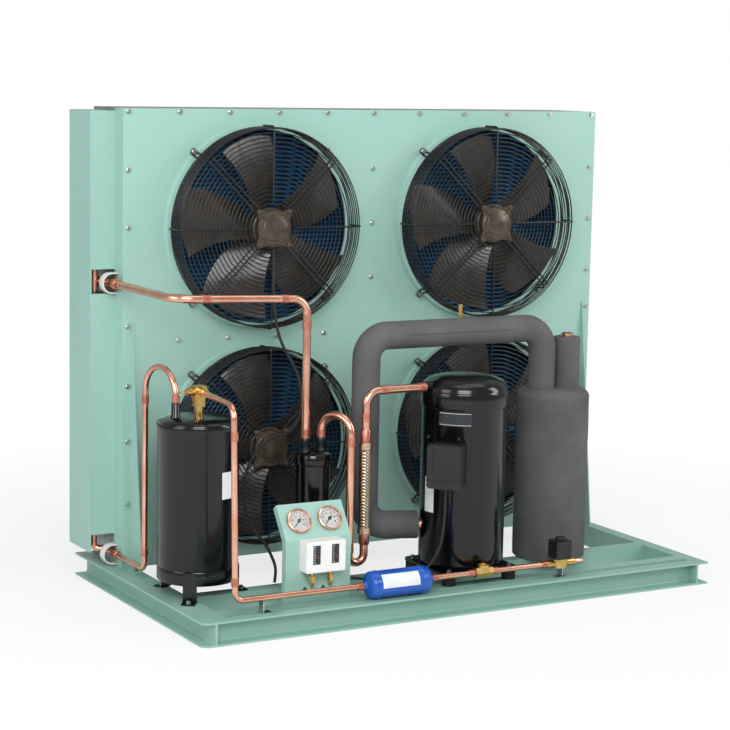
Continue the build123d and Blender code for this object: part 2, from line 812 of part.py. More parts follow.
with BuildPart() as terminal_body:
    with BuildSketch(box_plane(box_face)):
        RectangleRounded(box_width, box_high - box_low, 8)
    extrude(amount=-box_reach - 20)
    with BuildSketch(box_plane(box_face)):
        RectangleRounded(box_width - 2 * box_wall, box_high - box_low - 2 * box_wall, 6)
    extrude(amount=-box_reach + 14, mode=Mode.SUBTRACT)
    with BuildSketch(Plane(origin=(compressor_x, compressor_y, box_low - 5))):
        Circle(compressor_radius + 0.2)
    extrude(amount=box_high - box_low + 10, mode=Mode.SUBTRACT)
with BuildPart() as terminal_lid:
    with BuildSketch(box_plane(box_face)):
        RectangleRounded(box_width + 4, box_high - box_low + 4, 9)
    extrude(amount=lid_thickness)
    with BuildSketch(box_plane(box_face + lid_thickness)):
        Polygon((-28, -24), (-8, -44), (32, -44), (32, 44), (-28, 44), align=None)
    extrude(amount=-1.5, mode=Mode.SUBTRACT)
save(solid_list([terminal_body.part, terminal_lid.part]), "terminal_box")

# ---- Receiver ----------------------------------------------------------------------------------

receiver_centre = (receiver_x, receiver_y, 0)
receiver_wall = 4.0
dome_rise = 30.0
rim_width = 3.0
inlet_stub_x = receiver_x - 62.0
inlet_stub_y = receiver_y + 7.0
inlet_stub_top = 570.0
foot_width = 36.0
foot_plate = 4.0
foot_tall = 78.0
dome_start = receiver_top - dome_rise
shell_plane = Plane(origin=receiver_centre, x_dir=(1, 0, 0), z_dir=(0, -1, 0))
with BuildPart() as receiver_tank:
    with BuildSketch(shell_plane):
        with BuildLine():
            Polyline(
                (0, receiver_bottom + 16), (receiver_radius - 12, receiver_bottom),
                (receiver_radius, receiver_bottom), (receiver_radius, dome_start),
                (receiver_radius + rim_width, dome_start), (receiver_radius + rim_width, dome_start + 14),
                (receiver_radius - 4, dome_start + 14),
            )
            Spline(
                (receiver_radius - 4, dome_start + 14), (receiver_radius - 40, receiver_top - 6),
                (0, receiver_top), tangents=[(-0.5, 1), (-1, 0)],
            )
            Line((0, receiver_top), (0, receiver_bottom + 16))
        make_face()
    revolve(axis=Axis(receiver_centre, (0, 0, 1)))
    with BuildSketch(Plane(origin=(receiver_x, receiver_y, receiver_bottom + 24))):
        Circle(receiver_radius - receiver_wall)
    extrude(amount=dome_start - receiver_bottom - 28, mode=Mode.SUBTRACT)
    for index in range(3):
        turn = radians(receiver_foot_turn + 120 * index)
        out = (cos(turn), sin(turn), 0)
        upright = Plane(
            origin=(receiver_x + out[0] * (receiver_radius - 1), receiver_y + out[1] * (receiver_radius - 1),
                    deck),
            x_dir=(-out[1], out[0], 0), z_dir=out)
        with BuildSketch(upright):
            Rectangle(foot_width, foot_tall, align=(Align.CENTER, Align.MIN))
        extrude(amount=foot_plate + 1)
        with BuildSketch(upright):
            Rectangle(foot_width, foot_plate, align=(Align.CENTER, Align.MIN))
        extrude(amount=30)
    add(rod((inlet_stub_x, inlet_stub_y, dome_start), (inlet_stub_x, inlet_stub_y, inlet_stub_top),
            liquid_pipe + 6))
save(receiver_tank.part, "receiver_tank")

# Shut-off valve on the receiver: neck, union nut, body, outlet boss and a stem gland to the left
valve_z = 597.0
valve_outlet_y = receiver_y - 38.0
stem_radius = 4.0
stem_inner = 6.0
stem_length = 50.0
gland_length = 34.0
with BuildPart() as receiver_valve:
    with BuildSketch(Plane(origin=(receiver_x, receiver_y, receiver_top))):
        Circle(11)
    extrude(amount=valve_z - receiver_top)
    with BuildSketch(Plane(origin=(receiver_x, receiver_y, receiver_top + 24))):
        RegularPolygon(17, 6, major_radius=False)
    extrude(amount=24)
    with Locations((receiver_x, receiver_y, valve_z)):
        Box(32, 30, 30)
    with BuildSketch(Plane(origin=(receiver_x, receiver_y, valve_z), x_dir=(1, 0, 0), z_dir=(0, -1, 0))):
        Circle(12)
    extrude(amount=receiver_y - valve_outlet_y)
    gland = Plane(origin=(receiver_x, receiver_y, valve_z), x_dir=(0, 1, 0), z_dir=(-1, 0, 0))
    with BuildSketch(gland):
        Circle(10)
    extrude(amount=gland_length)
    with BuildSketch(gland.offset(stem_inner)):
        Circle(stem_radius + running_gap)
    extrude(amount=gland_length, mode=Mode.SUBTRACT)
save(receiver_valve.part, "receiver_valve")

with BuildPart() as valve_stem:
    with BuildSketch(gland.offset(stem_inner + 0.1)):
        Circle(stem_radius)
    extrude(amount=stem_length - 16)
    with BuildSketch(gland.offset(stem_inner + stem_length - 16)):
        Rectangle(5.4, 5.4)
    extrude(amount=14)
save(valve_stem.part, "valve_stem")

# ---- Oil separator -----------------------------------------------------------------------------

separator_centre = (separator_x, separator_y, 0)
cap_radius = separator_radius + 4
stub_top = 457.0
riser_x = separator_x + separator_stub_pitch / 2
gas_drop_x = separator_x - separator_stub_pitch / 2
with BuildPart() as oil_separator:
    with BuildSketch(Plane(origin=separator_centre, x_dir=(1, 0, 0), z_dir=(0, -1, 0))):
        with BuildLine():
            Polyline(
                (0, deck), (separator_radius - 6, deck), (separator_radius, deck + 6),
                (separator_radius, separator_top - 34), (cap_radius, separator_top - 34),
                (cap_radius, separator_top - 10), (cap_radius - 14, separator_top), (0, separator_top),
                (0, deck),
            )
        make_face()
    revolve(axis=Axis(separator_centre, (0, 0, 1)))
    with BuildSketch(Plane(origin=(separator_x, separator_y, deck + 10))):
        Circle(separator_radius - 3)
    extrude(amount=separator_top - deck - 30, mode=Mode.SUBTRACT)
    for x in (gas_drop_x, riser_x):
        add(rod((x, separator_y, separator_top - 4), (x, separator_y, stub_top), gas_pipe + 4))
save(oil_separator.part, "oil_separator")

# ---- Suction accumulator and suction line ------------------------------------------------------

accumulator_left_x = accumulator_x - suction_spacing / 2
accumulator_right_x = accumulator_x + suction_spacing / 2
vessel_radius = accumulator_radius - accumulator_foam - 0.5
vessel_low = deck + accumulator_foam
vessel_top = accumulator_top - accumulator_foam
pedestal_radius = 30.0
foam_gap = 0.3
suction_wall = 2.0
foam_stub_top = suction_stub_top
copper_recess = 7.0
with BuildPart() as accumulator_vessel:
    with BuildSketch(Plane(origin=(accumulator_x, accumulator_y, vessel_low))):
        Circle(vessel_radius)
    extrude(amount=vessel_top - vessel_low)
    fillet(accumulator_vessel.edges().filter_by(GeomType.CIRCLE), radius=24)
    with BuildSketch(Plane(origin=(accumulator_x, accumulator_y, vessel_low + 30))):
        Circle(vessel_radius - 4)
    extrude(amount=vessel_top - vessel_low - 60, mode=Mode.SUBTRACT)
    with BuildSketch(Plane(origin=(accumulator_x, accumulator_y, deck))):
        Circle(pedestal_radius)
    extrude(amount=accumulator_foam + 4)
    for x in (accumulator_left_x, accumulator_right_x):
        add(rod((x, accumulator_y, vessel_top - 26), (x, accumulator_y, accumulator_top), suction_pipe))
save(accumulator_vessel.part, "accumulator_vessel")

with BuildPart() as accumulator_jacket:
    with BuildSketch(Plane(origin=(accumulator_x, accumulator_y, deck))):
        Circle(accumulator_radius)
    extrude(amount=accumulator_top - deck)
    fillet(accumulator_jacket.edges().group_by(Axis.Z)[-1], radius=28)
    with BuildSketch(Plane(origin=(accumulator_x, accumulator_y, vessel_low - foam_gap))):
        Circle(vessel_radius + foam_gap)
    extrude(amount=vessel_top - vessel_low + 2 * foam_gap, mode=Mode.SUBTRACT)
    with BuildSketch(Plane(origin=(accumulator_x, accumulator_y, deck))):
        Circle(pedestal_radius + foam_gap)
    extrude(amount=accumulator_foam, mode=Mode.SUBTRACT)
    with BuildSketch(Plane(origin=(accumulator_x, accumulator_y, accumulator_top))):
        with GridLocations(suction_spacing, 0, 2, 1):
            Circle(suction_pipe / 2 + foam_gap)
    extrude(amount=-accumulator_foam - 2, mode=Mode.SUBTRACT)
save(accumulator_jacket.part, "accumulator_jacket")

to_shell = Vector(compressor_x - suction_leg_x, compressor_y - accumulator_y, 0)
suction_leg = Vector(suction_leg_x, accumulator_y, suction_low_z)


def suction_route(shell_gap):
    last = suction_leg + to_shell.normalized() * (to_shell.length - compressor_radius - shell_gap)
    return [
        (accumulator_left_x, accumulator_y, accumulator_top),
        (accumulator_left_x, accumulator_y, suction_run_z),
        (suction_leg_x, accumulator_y, suction_run_z),
        (suction_leg_x, accumulator_y, suction_low_z),
        tuple(last),
    ]


suction_bends = [suction_bend] * 3
foam_inner = suction_pipe + 2 * foam_gap
shell_cut = Pos(compressor_x, compressor_y, suction_low_z) * Cylinder(compressor_radius, 120)
foam_cut = Pos(compressor_x, compressor_y, suction_low_z) * Cylinder(compressor_radius + foam_gap, 120)
foam_run = tube(suction_route(-20.0), suction_bends, suction_outer, foam_inner) - foam_cut
foam_ring = Cylinder(suction_outer / 2, foam_stub_top - accumulator_top,
                     align=(Align.CENTER, Align.CENTER, Align.MIN))
foam_core = Cylinder(foam_inner / 2, foam_stub_top - accumulator_top,
                     align=(Align.CENTER, Align.CENTER, Align.MIN))
foam_stub = Pos(accumulator_right_x, accumulator_y, accumulator_top) * (foam_ring - foam_core)

copper_run = tube(suction_route(-10.0), suction_bends, suction_pipe, suction_pipe - 2 * suction_wall)
copper_outer = rod((accumulator_right_x, accumulator_y, accumulator_top),
                   (accumulator_right_x, accumulator_y, suction_stub_top - copper_recess), suction_pipe)
copper_inner = rod((accumulator_right_x, accumulator_y, accumulator_top + 6),
                   (accumulator_right_x, accumulator_y, suction_stub_top), suction_pipe - 2 * suction_wall)
save(solid_list([copper_run - shell_cut, copper_outer - copper_inner]), "suction_pipes")

schrader_x = 120.0
schrader_base = suction_run_z + suction_outer / 2
with BuildPart() as schrader_valve:
    with BuildSketch(Plane(origin=(schrader_x, accumulator_y, schrader_base - 3))):
        Circle(4)
    extrude(amount=34)
    with BuildSketch(Plane(origin=(schrader_x, accumulator_y, schrader_base + 8))):
        RegularPolygon(7, 6, major_radius=False)
    extrude(amount=8)
    with BuildSketch(Plane(origin=(schrader_x, accumulator_y, schrader_base + 20))):
        Circle(6)
    extrude(amount=18)
with BuildPart() as foam_pocket:
    with Locations((schrader_x, accumulator_y, schrader_base)):
        Cylinder(4 + foam_gap, 12)
save(solid_list([foam_run - foam_pocket.part, foam_stub]), "suction_insulation")

# ---- Gauge panel and pressure control ----------------------------------------------------------

gauge_sheet = 2.0
gauge_centre_x = gauge_panel_left + gauge_panel_width / 2
slope = Vector(0, gauge_slope_run, gauge_top - gauge_knee)
slope_out = Vector(0, -slope.Z, slope.Y).normalized()
slope_middle = Vector(0, gauge_panel_y + slope.Y / 2, (gauge_knee + gauge_top) / 2)
case_radius = gauge_radius - 4


def gauge_profile(depth):
    """Outline of the folded sheet seen from the side, to a depth behind its face."""
    return Polyline(
        (gauge_panel_y, deck), (gauge_panel_y, gauge_knee),
        (gauge_panel_y + slope.Y, gauge_top),
        (gauge_panel_y + slope.Y - slope_out.Y * depth, gauge_top - slope_out.Z * depth),
        (gauge_panel_y + depth, gauge_knee + depth * (1 + slope_out.Y) / slope.Y * slope.Z
         - depth * slope_out.Z),
        (gauge_panel_y + depth, deck),
        close=True,
    )


def gauge_plane(x, offset=0.0):
    origin = Vector(x, slope_middle.Y, slope_middle.Z) + slope_out * offset
    return Plane(origin=origin, x_dir=(1, 0, 0), z_dir=slope_out)


gauge_spots = {"low": gauge_centre_x - gauge_pitch / 2, "high": gauge_centre_x + gauge_pitch / 2}
with BuildPart() as gauge_panel:
    with BuildSketch(Plane.YZ.offset(gauge_panel_left)):
        with BuildLine():
            gauge_profile(gauge_sheet)
        make_face()
    extrude(amount=gauge_panel_width)
    for x in (gauge_panel_left, gauge_panel_left + gauge_panel_width - gauge_sheet):
        with BuildSketch(Plane.YZ.offset(x)):
            with BuildLine():
                gauge_profile(gauge_flange)
            make_face()
        extrude(amount=gauge_sheet)
    for x in gauge_spots.values():
        with BuildSketch(gauge_plane(x)):
            Circle(case_radius + 0.3)
        extrude(amount=-gauge_sheet * 3, mode=Mode.SUBTRACT)
    with BuildSketch(Plane(origin=(gauge_centre_x, gauge_panel_y, 97), x_dir=(1, 0, 0), z_dir=(0, -1, 0))):
        with Locations((-38, 0), (15, 0)):
            Circle(6)
    extrude(amount=-gauge_sheet * 2, mode=Mode.SUBTRACT)
save(gauge_panel.part, "gauge_panel")

# Gauges: a flanged cup with a fixed spindle, a pointer running on it and a lens in the bezel
bezel_height = 10.0
dial_height = 3.0
spindle_radius = 1.5
pointer_low_z = 4.6
pointer_thick = 1.2
pointer_reach = 24.0
lens_low_z = 7.5
cases = []
lenses = []
for name, x in gauge_spots.items():
    with BuildPart() as case:
        with BuildSketch(gauge_plane(x, 0.1)):
            Circle(gauge_radius)
        extrude(amount=bezel_height)
        with BuildSketch(gauge_plane(x, 0.1)):
            Circle(case_radius)
        extrude(amount=-gauge_depth)
        with BuildSketch(gauge_plane(x, 0.1 + dial_height)):
            Circle(case_radius)
            Circle(spindle_radius, mode=Mode.SUBTRACT)
        extrude(amount=bezel_height, mode=Mode.SUBTRACT)
        with BuildSketch(gauge_plane(x, 0.1 + lens_low_z - 0.4)):
            Circle(spindle_radius)
        extrude(amount=bezel_height, mode=Mode.SUBTRACT)
    cases.append(case.part)
    with BuildPart() as lens:
        with BuildSketch(gauge_plane(x, 0.1 + lens_low_z)):
            Circle(case_radius)
        extrude(amount=2)
    lenses.append(lens.part)
    with BuildPart() as pointer:
        with BuildSketch(gauge_plane(x, 0.1 + pointer_low_z)):
            Circle(4.5)
            with Locations(Rotation(0, 0, 225)):
                Polygon((0, -1.6), (pointer_reach, -0.5), (pointer_reach, 0.5), (0, 1.6), align=None)
                Rectangle(9, 2.4, align=(Align.MAX, Align.CENTER))
            Circle(spindle_radius + running_gap, mode=Mode.SUBTRACT)
        extrude(amount=pointer_thick)
    save(pointer.part, f"pointer_{name}")
save(solid_list(cases), "gauge_cases")
save(solid_list(lenses), "gauge_lenses")

# Dual pressure control below the gauges, with its two flare connections
control_left = -463.0
control_width = 115.0
control_depth = 38.0
control_low = 146.0
control_high = 228.0
with BuildPart() as pressure_control:
    with BuildSketch(Plane(origin=(control_left + control_width / 2, gauge_panel_y - 0.1,
                                   (control_low + control_high) / 2),
                           x_dir=(1, 0, 0), z_dir=(0, -1, 0))):
        RectangleRounded(control_width, control_high - control_low, 4)
    extrude(amount=control_depth)
    fillet(pressure_control.edges().group_by(Axis.Y)[0], radius=2)
    with BuildSketch(Plane(origin=(control_left + control_width / 2, gauge_panel_y - control_depth - 0.1,
                                   (control_low + control_high) / 2 + 6),
                           x_dir=(1, 0, 0), z_dir=(0, -1, 0))):
        with Locations((-27, 0), (27, 0)):
            Rectangle(22, 50)
    extrude(amount=-1.5, mode=Mode.SUBTRACT)
save(pressure_control.part, "pressure_control")

flare_y = gauge_panel_y - control_depth / 2
flare_low = 105.0
flares = [schrader_valve.part]
for x in (control_left + 27.0, control_left + 80.0):
    with BuildPart() as flare:
        with BuildSketch(Plane(origin=(x, flare_y, flare_low))):
            Circle(4)
        extrude(amount=control_low - flare_low)
        with BuildSketch(Plane(origin=(x, flare_y, flare_low + 14))):
            RegularPolygon(8, 6, major_radius=False)
        extrude(amount=16)
    flares.append(flare.part)
save(solid_list(flares), "service_fittings")

# ---- Gas lines ---------------------------------------------------------------------------------

gas_turn_y = receiver_y - 39.5
gas_bend = 60.0
sleeve_y = coil_front - 34.0
with BuildPart() as hot_gas_line:
    add(tube(
        [
            (hot_gas_x, line_start_y, hot_gas_z),
            (hot_gas_x, gas_turn_y, hot_gas_z),
            (gas_drop_x, separator_y, hot_gas_z - 15),
            (gas_drop_x, separator_y, stub_top),
        ],
        [gas_bend, gas_bend * 0.75], gas_pipe))
    add(rod((hot_gas_x, sleeve_y, hot_gas_z), (hot_gas_x, sleeve_y - 26, hot_gas_z), gas_pipe + 7))
save(hot_gas_line.part, "hot_gas_line")

hose_x = -224.0
hose_top = 485.0
hose_low = 175.0
save(tube(
    [
        (compressor_stub_x, compressor_y, compressor_stub_z),
        (hose_x, compressor_y, compressor_stub_z),
        (hose_x, compressor_y, hose_top),
    ],
    [38], gas_pipe), "discharge_line")

with BuildPart() as vibration_absorber:
    with BuildSketch(Plane(origin=(hose_x, compressor_y, 0), x_dir=(1, 0, 0), z_dir=(0, -1, 0))):
        with BuildLine():
            Polyline(
                (0, hose_low), (14, hose_low), (14, 205), (18, 205), (18, 222), (16, 224), (16, 430),
                (18, 432), (18, 450), (14, 450), (14, hose_top), (0, hose_top), (0, hose_low),
            )
        make_face()
    revolve(axis=Axis((hose_x, compressor_y, 0), (0, 0, 1)))
save(vibration_absorber.part, "vibration_absorber")

riser_leg_x = hose_x - 45.0
riser_low_z = 128.0
riser_arch_z = 520.0
save(tube(
    [
        (hose_x, compressor_y, hose_low),
        (hose_x, compressor_y, riser_low_z),
        (riser_leg_x, compressor_y, riser_low_z),
        (riser_leg_x, compressor_y, riser_arch_z),
        (riser_x, separator_y, riser_arch_z),
        (riser_x, separator_y, stub_top),
    ],
    [22, 22, 45, 45], gas_pipe), "discharge_riser")

# ---- Liquid lines ------------------------------------------------------------------------------

goose_y = 14.0
goose_top = 654.0
save(tube(
    [
        (condensate_x, line_start_y, condensate_z),
        (condensate_x, goose_y, condensate_z),
        (condensate_x, goose_y, goose_top),
        (inlet_stub_x, inlet_stub_y, goose_top),
        (inlet_stub_x, inlet_stub_y, inlet_stub_top),
    ],
    [24, 72, 72], liquid_pipe), "receiver_inlet_line")

sight_half = 26.0
solenoid_half = 45.0
line_top_x = receiver_x - 20.0
line_low_x = receiver_x - 11.0
liquid_run = [
    tube(
        [
            (receiver_x, valve_outlet_y - 0.8, valve_z),
            (line_top_x, liquid_y, valve_z),
            (line_low_x, liquid_y, liquid_z),
            (drier_left, liquid_y, liquid_z),
        ],
        [36, 24], liquid_pipe),
    rod((drier_right, liquid_y, liquid_z), (sight_x - sight_half, liquid_y, liquid_z), liquid_pipe),
    rod((sight_x + sight_half, liquid_y, liquid_z), (solenoid_x - solenoid_half, liquid_y, liquid_z),
        liquid_pipe),
    rod((solenoid_x + solenoid_half, liquid_y, liquid_z), (liquid_end, liquid_y, liquid_z), liquid_pipe)
    - rod((solenoid_x + solenoid_half + 4, liquid_y, liquid_z), (liquid_end, liquid_y, liquid_z),
          liquid_pipe - 2),
]
save(solid_list(liquid_run), "liquid_line")

along_line = Axis((0, liquid_y, liquid_z), (1, 0, 0))
drier_stub = 12.0
with BuildPart() as filter_drier:
    with BuildSketch(Plane(origin=(0, liquid_y, liquid_z), x_dir=(1, 0, 0), z_dir=(0, -1, 0))):
        with BuildLine():
            drier_ends = [(0, 0), (0, 12), (drier_stub, 12), (drier_stub + 3, drier_radius - 8),
                          (drier_stub + 9, drier_radius - 1.5), (drier_stub + 22, drier_radius - 1.5),
                          (drier_stub + 24, drier_radius), (drier_stub + 27, drier_radius),
                          (drier_stub + 29, drier_radius - 1.5)]
            Polyline(
                *[(drier_left + along, out) for along, out in drier_ends],
                *[(drier_right - along, out) for along, out in reversed(drier_ends)],
                (drier_left, 0),
            )
        make_face()
    revolve(axis=along_line)
save(filter_drier.part, "filter_drier")

with BuildPart() as sight_glass:
    with BuildSketch(Plane(origin=(sight_x - sight_half, liquid_y, liquid_z), x_dir=(0, 1, 0),
                           z_dir=(1, 0, 0))):
        RegularPolygon(13, 6, major_radius=False)
    extrude(amount=2 * sight_half)
    with BuildSketch(Plane(origin=(sight_x, liquid_y, liquid_z))):
        Circle(16)
    extrude(amount=21)
    with BuildSketch(Plane(origin=(sight_x, liquid_y, liquid_z + 21))):
        Circle(11)
    extrude(amount=-3, mode=Mode.SUBTRACT)
save(sight_glass.part, "sight_glass")

bonnet_top = liquid_z + 14.0
coil_size = 50.0
coil_top = 165.0
with BuildPart() as solenoid_valve:
    add(rod((solenoid_x - solenoid_half, liquid_y, liquid_z),
            (solenoid_x + solenoid_half, liquid_y, liquid_z), liquid_pipe + 6))
    with BuildSketch(Plane(origin=(solenoid_x, liquid_y, liquid_z - 11))):
        Circle(22)
    extrude(amount=bonnet_top - liquid_z + 11)
    with BuildSketch(Plane(origin=(solenoid_x, liquid_y, bonnet_top))):
        Circle(8)
    extrude(amount=coil_top - bonnet_top)
save(solenoid_valve.part, "solenoid_valve")
with BuildPart() as coil_body:
    with BuildSketch(Plane(origin=(solenoid_x, liquid_y, bonnet_top + 0.1))):
        RectangleRounded(coil_size, coil_size, 6)
        Circle(8 + running_gap, mode=Mode.SUBTRACT)
    extrude(amount=coil_top - bonnet_top - 0.2)
with BuildPart() as coil_cap:
    with BuildSketch(Plane(origin=(solenoid_x, liquid_y, coil_top))):
        Circle(13.5)
    extrude(amount=9)
save(solid_list([coil_body.part, coil_cap.part]), "solenoid_coil")

# Brackets that hold the liquid line on the front of the base
clip_x = -598.0
bracket_thick = 3.0
valve_under = liquid_z - 11.0
pipe_under = liquid_z - liquid_pipe / 2
with BuildPart() as valve_bracket:
    with Locations((solenoid_x, liquid_y - 4, deck)):
        Box(28, 24, bracket_thick, align=(Align.CENTER, Align.CENTER, Align.MIN))
        Box(bracket_thick, 24, valve_under - deck, align=(Align.CENTER, Align.CENTER, Align.MIN))
        Box(20, 24, 2, align=(Align.CENTER, Align.CENTER, Align.MIN))
with BuildPart() as clip_bracket:
    with Locations((clip_x, liquid_y - 2, deck)):
        Box(26, 24, bracket_thick, align=(Align.MIN, Align.CENTER, Align.MIN))
        Box(bracket_thick, 24, pipe_under - deck, align=(Align.MIN, Align.CENTER, Align.MIN))
save(solid_list([valve_bracket.part, clip_bracket.part]), "pipe_brackets")

# Bolts that hold the feet down on the base
foot_bolt_spots = [
    (brace_left_x - 11, panel_face - brace_foot + 30, deck + brace_plate),
    (brace_right_x + 11, panel_face - brace_foot + 30, deck + brace_plate),
]
foot_bolt_spots += [
    (compressor_x + side_x * compressor_foot_pitch / 2, compressor_y + side_y * compressor_foot_pitch / 2,
     compressor_bottom)
    for side_x in (-1, 1) for side_y in (-1, 1)
]
foot_bolt_spots += [
    (receiver_x + (receiver_foot_circle + 11) * cos(radians(receiver_foot_turn + 120 * index)),
     receiver_y + (receiver_foot_circle + 11) * sin(radians(receiver_foot_turn + 120 * index)),
     deck + foot_plate)
    for index in range(3)
]
foot_bolts = [hex_bolt(Plane(origin=spot), 10, 6, 7, 1.5, 0, 0) for spot in foot_bolt_spots]
save(solid_list(foot_bolts), "foot_bolts")

# ---- Cables ------------------------------------------------------------------------------------

cable_size = 8.0


def cable(points):
    """A cable along its route, each bend as wide as its two runs let it be."""
    radii = []
    for before, corner, after in zip(points, points[1:], points[2:]):
        run_in = Vector(*corner) - Vector(*before)
        run_out = Vector(*after) - Vector(*corner)
        turn = radians(run_in.get_angle(run_out))
        radii.append(0.45 * min(run_in.length, run_out.length) / tan(turn / 2))
    return tube(points, radii, cable_size)


motor_lead_y = panel_face - guard_front - wire_radius - cable_size / 2 - 0.3
fan_lead_x = fan_spots["upper_left"][0]
save(cable([
    (fan_lead_x, motor_lead_y, fan_spots["upper_left"][1] - motor_plate_radius + 5.5),
    (fan_lead_x, motor_lead_y - 1, 800.0),
    (fan_lead_x + 10, motor_lead_y - 14, 690.0),
    (fan_lead_x + 60, 50.0, 590.0),
    (fan_lead_x + 38, -10.0, 500.0),
    (-352.0, -62.0, 452.0),
    (-430.0, -80.0, 452.0),
    (-486.0, -74.0, 380.0),
    (-498.0, -70.0, 290.0),
    (-476.0, -84.0, 210.0),
    (-440.0, -110.0, 160.0),
    (-430.0, -142.0, 110.0),
    (-440.0, -153.5, 72.0),
]), "fan_cable")
lead_start = Vector(compressor_x, compressor_y, box_low) + Vector(*box_out) * (box_face - 24)
save(cable([
    tuple(lead_start),
    (lead_start.X, lead_start.Y, 250.0),
    (lead_start.X - 8, lead_start.Y + 4, 170.0),
    (lead_start.X - 40, lead_start.Y + 14, 112.0),
    (lead_start.X - 110, lead_start.Y + 18, 92.0),
    (lead_start.X - 190, lead_start.Y + 26, 96.0),
    (lead_start.X - 260, gauge_panel_y + 34.0, 104.0),
    (gauge_panel_left + gauge_panel_width - 30.0, gauge_panel_y + 34.0, 112.0),
]), "compressor_cable")
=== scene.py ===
import math
import bmesh
import bpy
import numpy as np
from mathutils import Matrix, Vector


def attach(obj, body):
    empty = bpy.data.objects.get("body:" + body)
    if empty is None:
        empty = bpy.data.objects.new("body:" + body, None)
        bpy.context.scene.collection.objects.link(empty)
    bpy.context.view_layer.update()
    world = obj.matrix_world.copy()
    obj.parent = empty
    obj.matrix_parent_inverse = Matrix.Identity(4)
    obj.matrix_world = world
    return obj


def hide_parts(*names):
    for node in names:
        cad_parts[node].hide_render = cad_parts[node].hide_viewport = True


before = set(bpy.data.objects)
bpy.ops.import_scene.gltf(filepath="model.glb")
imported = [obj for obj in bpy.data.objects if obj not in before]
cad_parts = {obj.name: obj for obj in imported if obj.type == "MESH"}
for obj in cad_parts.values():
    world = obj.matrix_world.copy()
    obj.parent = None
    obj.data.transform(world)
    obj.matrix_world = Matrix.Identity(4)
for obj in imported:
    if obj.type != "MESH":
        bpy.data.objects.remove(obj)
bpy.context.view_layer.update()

mm = 0.001
unit = "unit"


def joinParts(parts):
    # Stack several (points, faces) pairs into one, each pair's faces moved on by the points before it.
    points, faces, count = [], [], 0
    for p, f in parts:
        p = np.asarray(p, float).reshape(-1, 3)
        points.append(p)
        faces += [[int(i) + count for i in face] for face in f]
        count += len(p)
    return np.concatenate(points), faces


def gridFaces(rows, cols, closeRows, closeCols):
    # Quads between neighbouring rows and columns of a grid, wrapping round where it is closed.
    r = np.arange(rows if closeRows else rows - 1)
    c = np.arange(cols if closeCols else cols - 1)
    R, C = np.meshgrid(r, c, indexing="ij")
    R2, C2 = (R + 1) % rows, (C + 1) % cols
    quads = np.stack([R * cols + C, R * cols + C2, R2 * cols + C2, R2 * cols + C], -1)
    return quads.reshape(-1, 4).tolist()


def axisBasis(axis):
    # Two unit vectors square to an axis, and the axis.
    w = np.array(axis, float)
    w /= np.linalg.norm(w)
    ref = np.array([0.0, 0.0, 1.0]) if abs(w[2]) < 0.9 else np.array([1.0, 0.0, 0.0])
    u = np.cross(ref, w)
    u /= np.linalg.norm(u)
    return u, np.cross(w, u), w


def turned(profile, centre, axis=(0, 0, 1), sides=64):
    # Each profile point (radius r, height h) becomes the ring centre + h*axis + r*(u cos a + v sin a).
    profile = np.array(profile, float)
    u, v, w = axisBasis(axis)
    a = np.linspace(0, 2 * np.pi, sides, endpoint=False)
    circle = np.cos(a)[:, None] * u + np.sin(a)[:, None] * v
    inner = profile[(profile[:, 0] > 1e-9)]
    rings = np.array(centre) + inner[:, 1][:, None, None] * w + inner[:, 0][:, None, None] * circle
    points = rings.reshape(-1, 3)
    faces = gridFaces(len(inner), sides, False, True)
    ends = []
    if profile[0, 0] <= 1e-9:
        ends.append((profile[0, 1], 0, True))
    if profile[-1, 0] <= 1e-9:
        ends.append((profile[-1, 1], len(inner) - 1, False))
    for height, ring, first in ends:
        points = np.vstack([points, np.array(centre) + height * w])
        pole, start = len(points) - 1, ring * sides
        k = np.arange(sides)
        fan = np.stack([np.full(sides, pole), start + (k + 1) % sides, start + k], -1)
        faces += (fan if first else fan[:, ::-1]).tolist()
    return points * 1.0, faces


def route(points, bends, step=0.06):
    # Straight runs joined by arcs of the given radii: each arc is sampled by turning about its centre.
    pts = [np.array(p, float) for p in points]
    path = [pts[0]]
    for i in range(1, len(pts) - 1):
        a = pts[i - 1] - pts[i]
        b = pts[i + 1] - pts[i]
        a /= np.linalg.norm(a)
        b /= np.linalg.norm(b)
        half = math.acos(np.clip(a @ b, -1, 1)) / 2
        radius = bends[i - 1]
        centre = pts[i] + (a + b) / np.linalg.norm(a + b) * radius / math.sin(half)
        start = pts[i] + a * radius / math.tan(half)
        sweep = math.pi - 2 * half
        x = (start - centre) / radius
        y = -a
        t = np.linspace(0, sweep, max(4, int(sweep / step)))
        path += list(centre + radius * (np.cos(t)[:, None] * x + np.sin(t)[:, None] * y))
    path.append(pts[-1])
    return np.array(path)


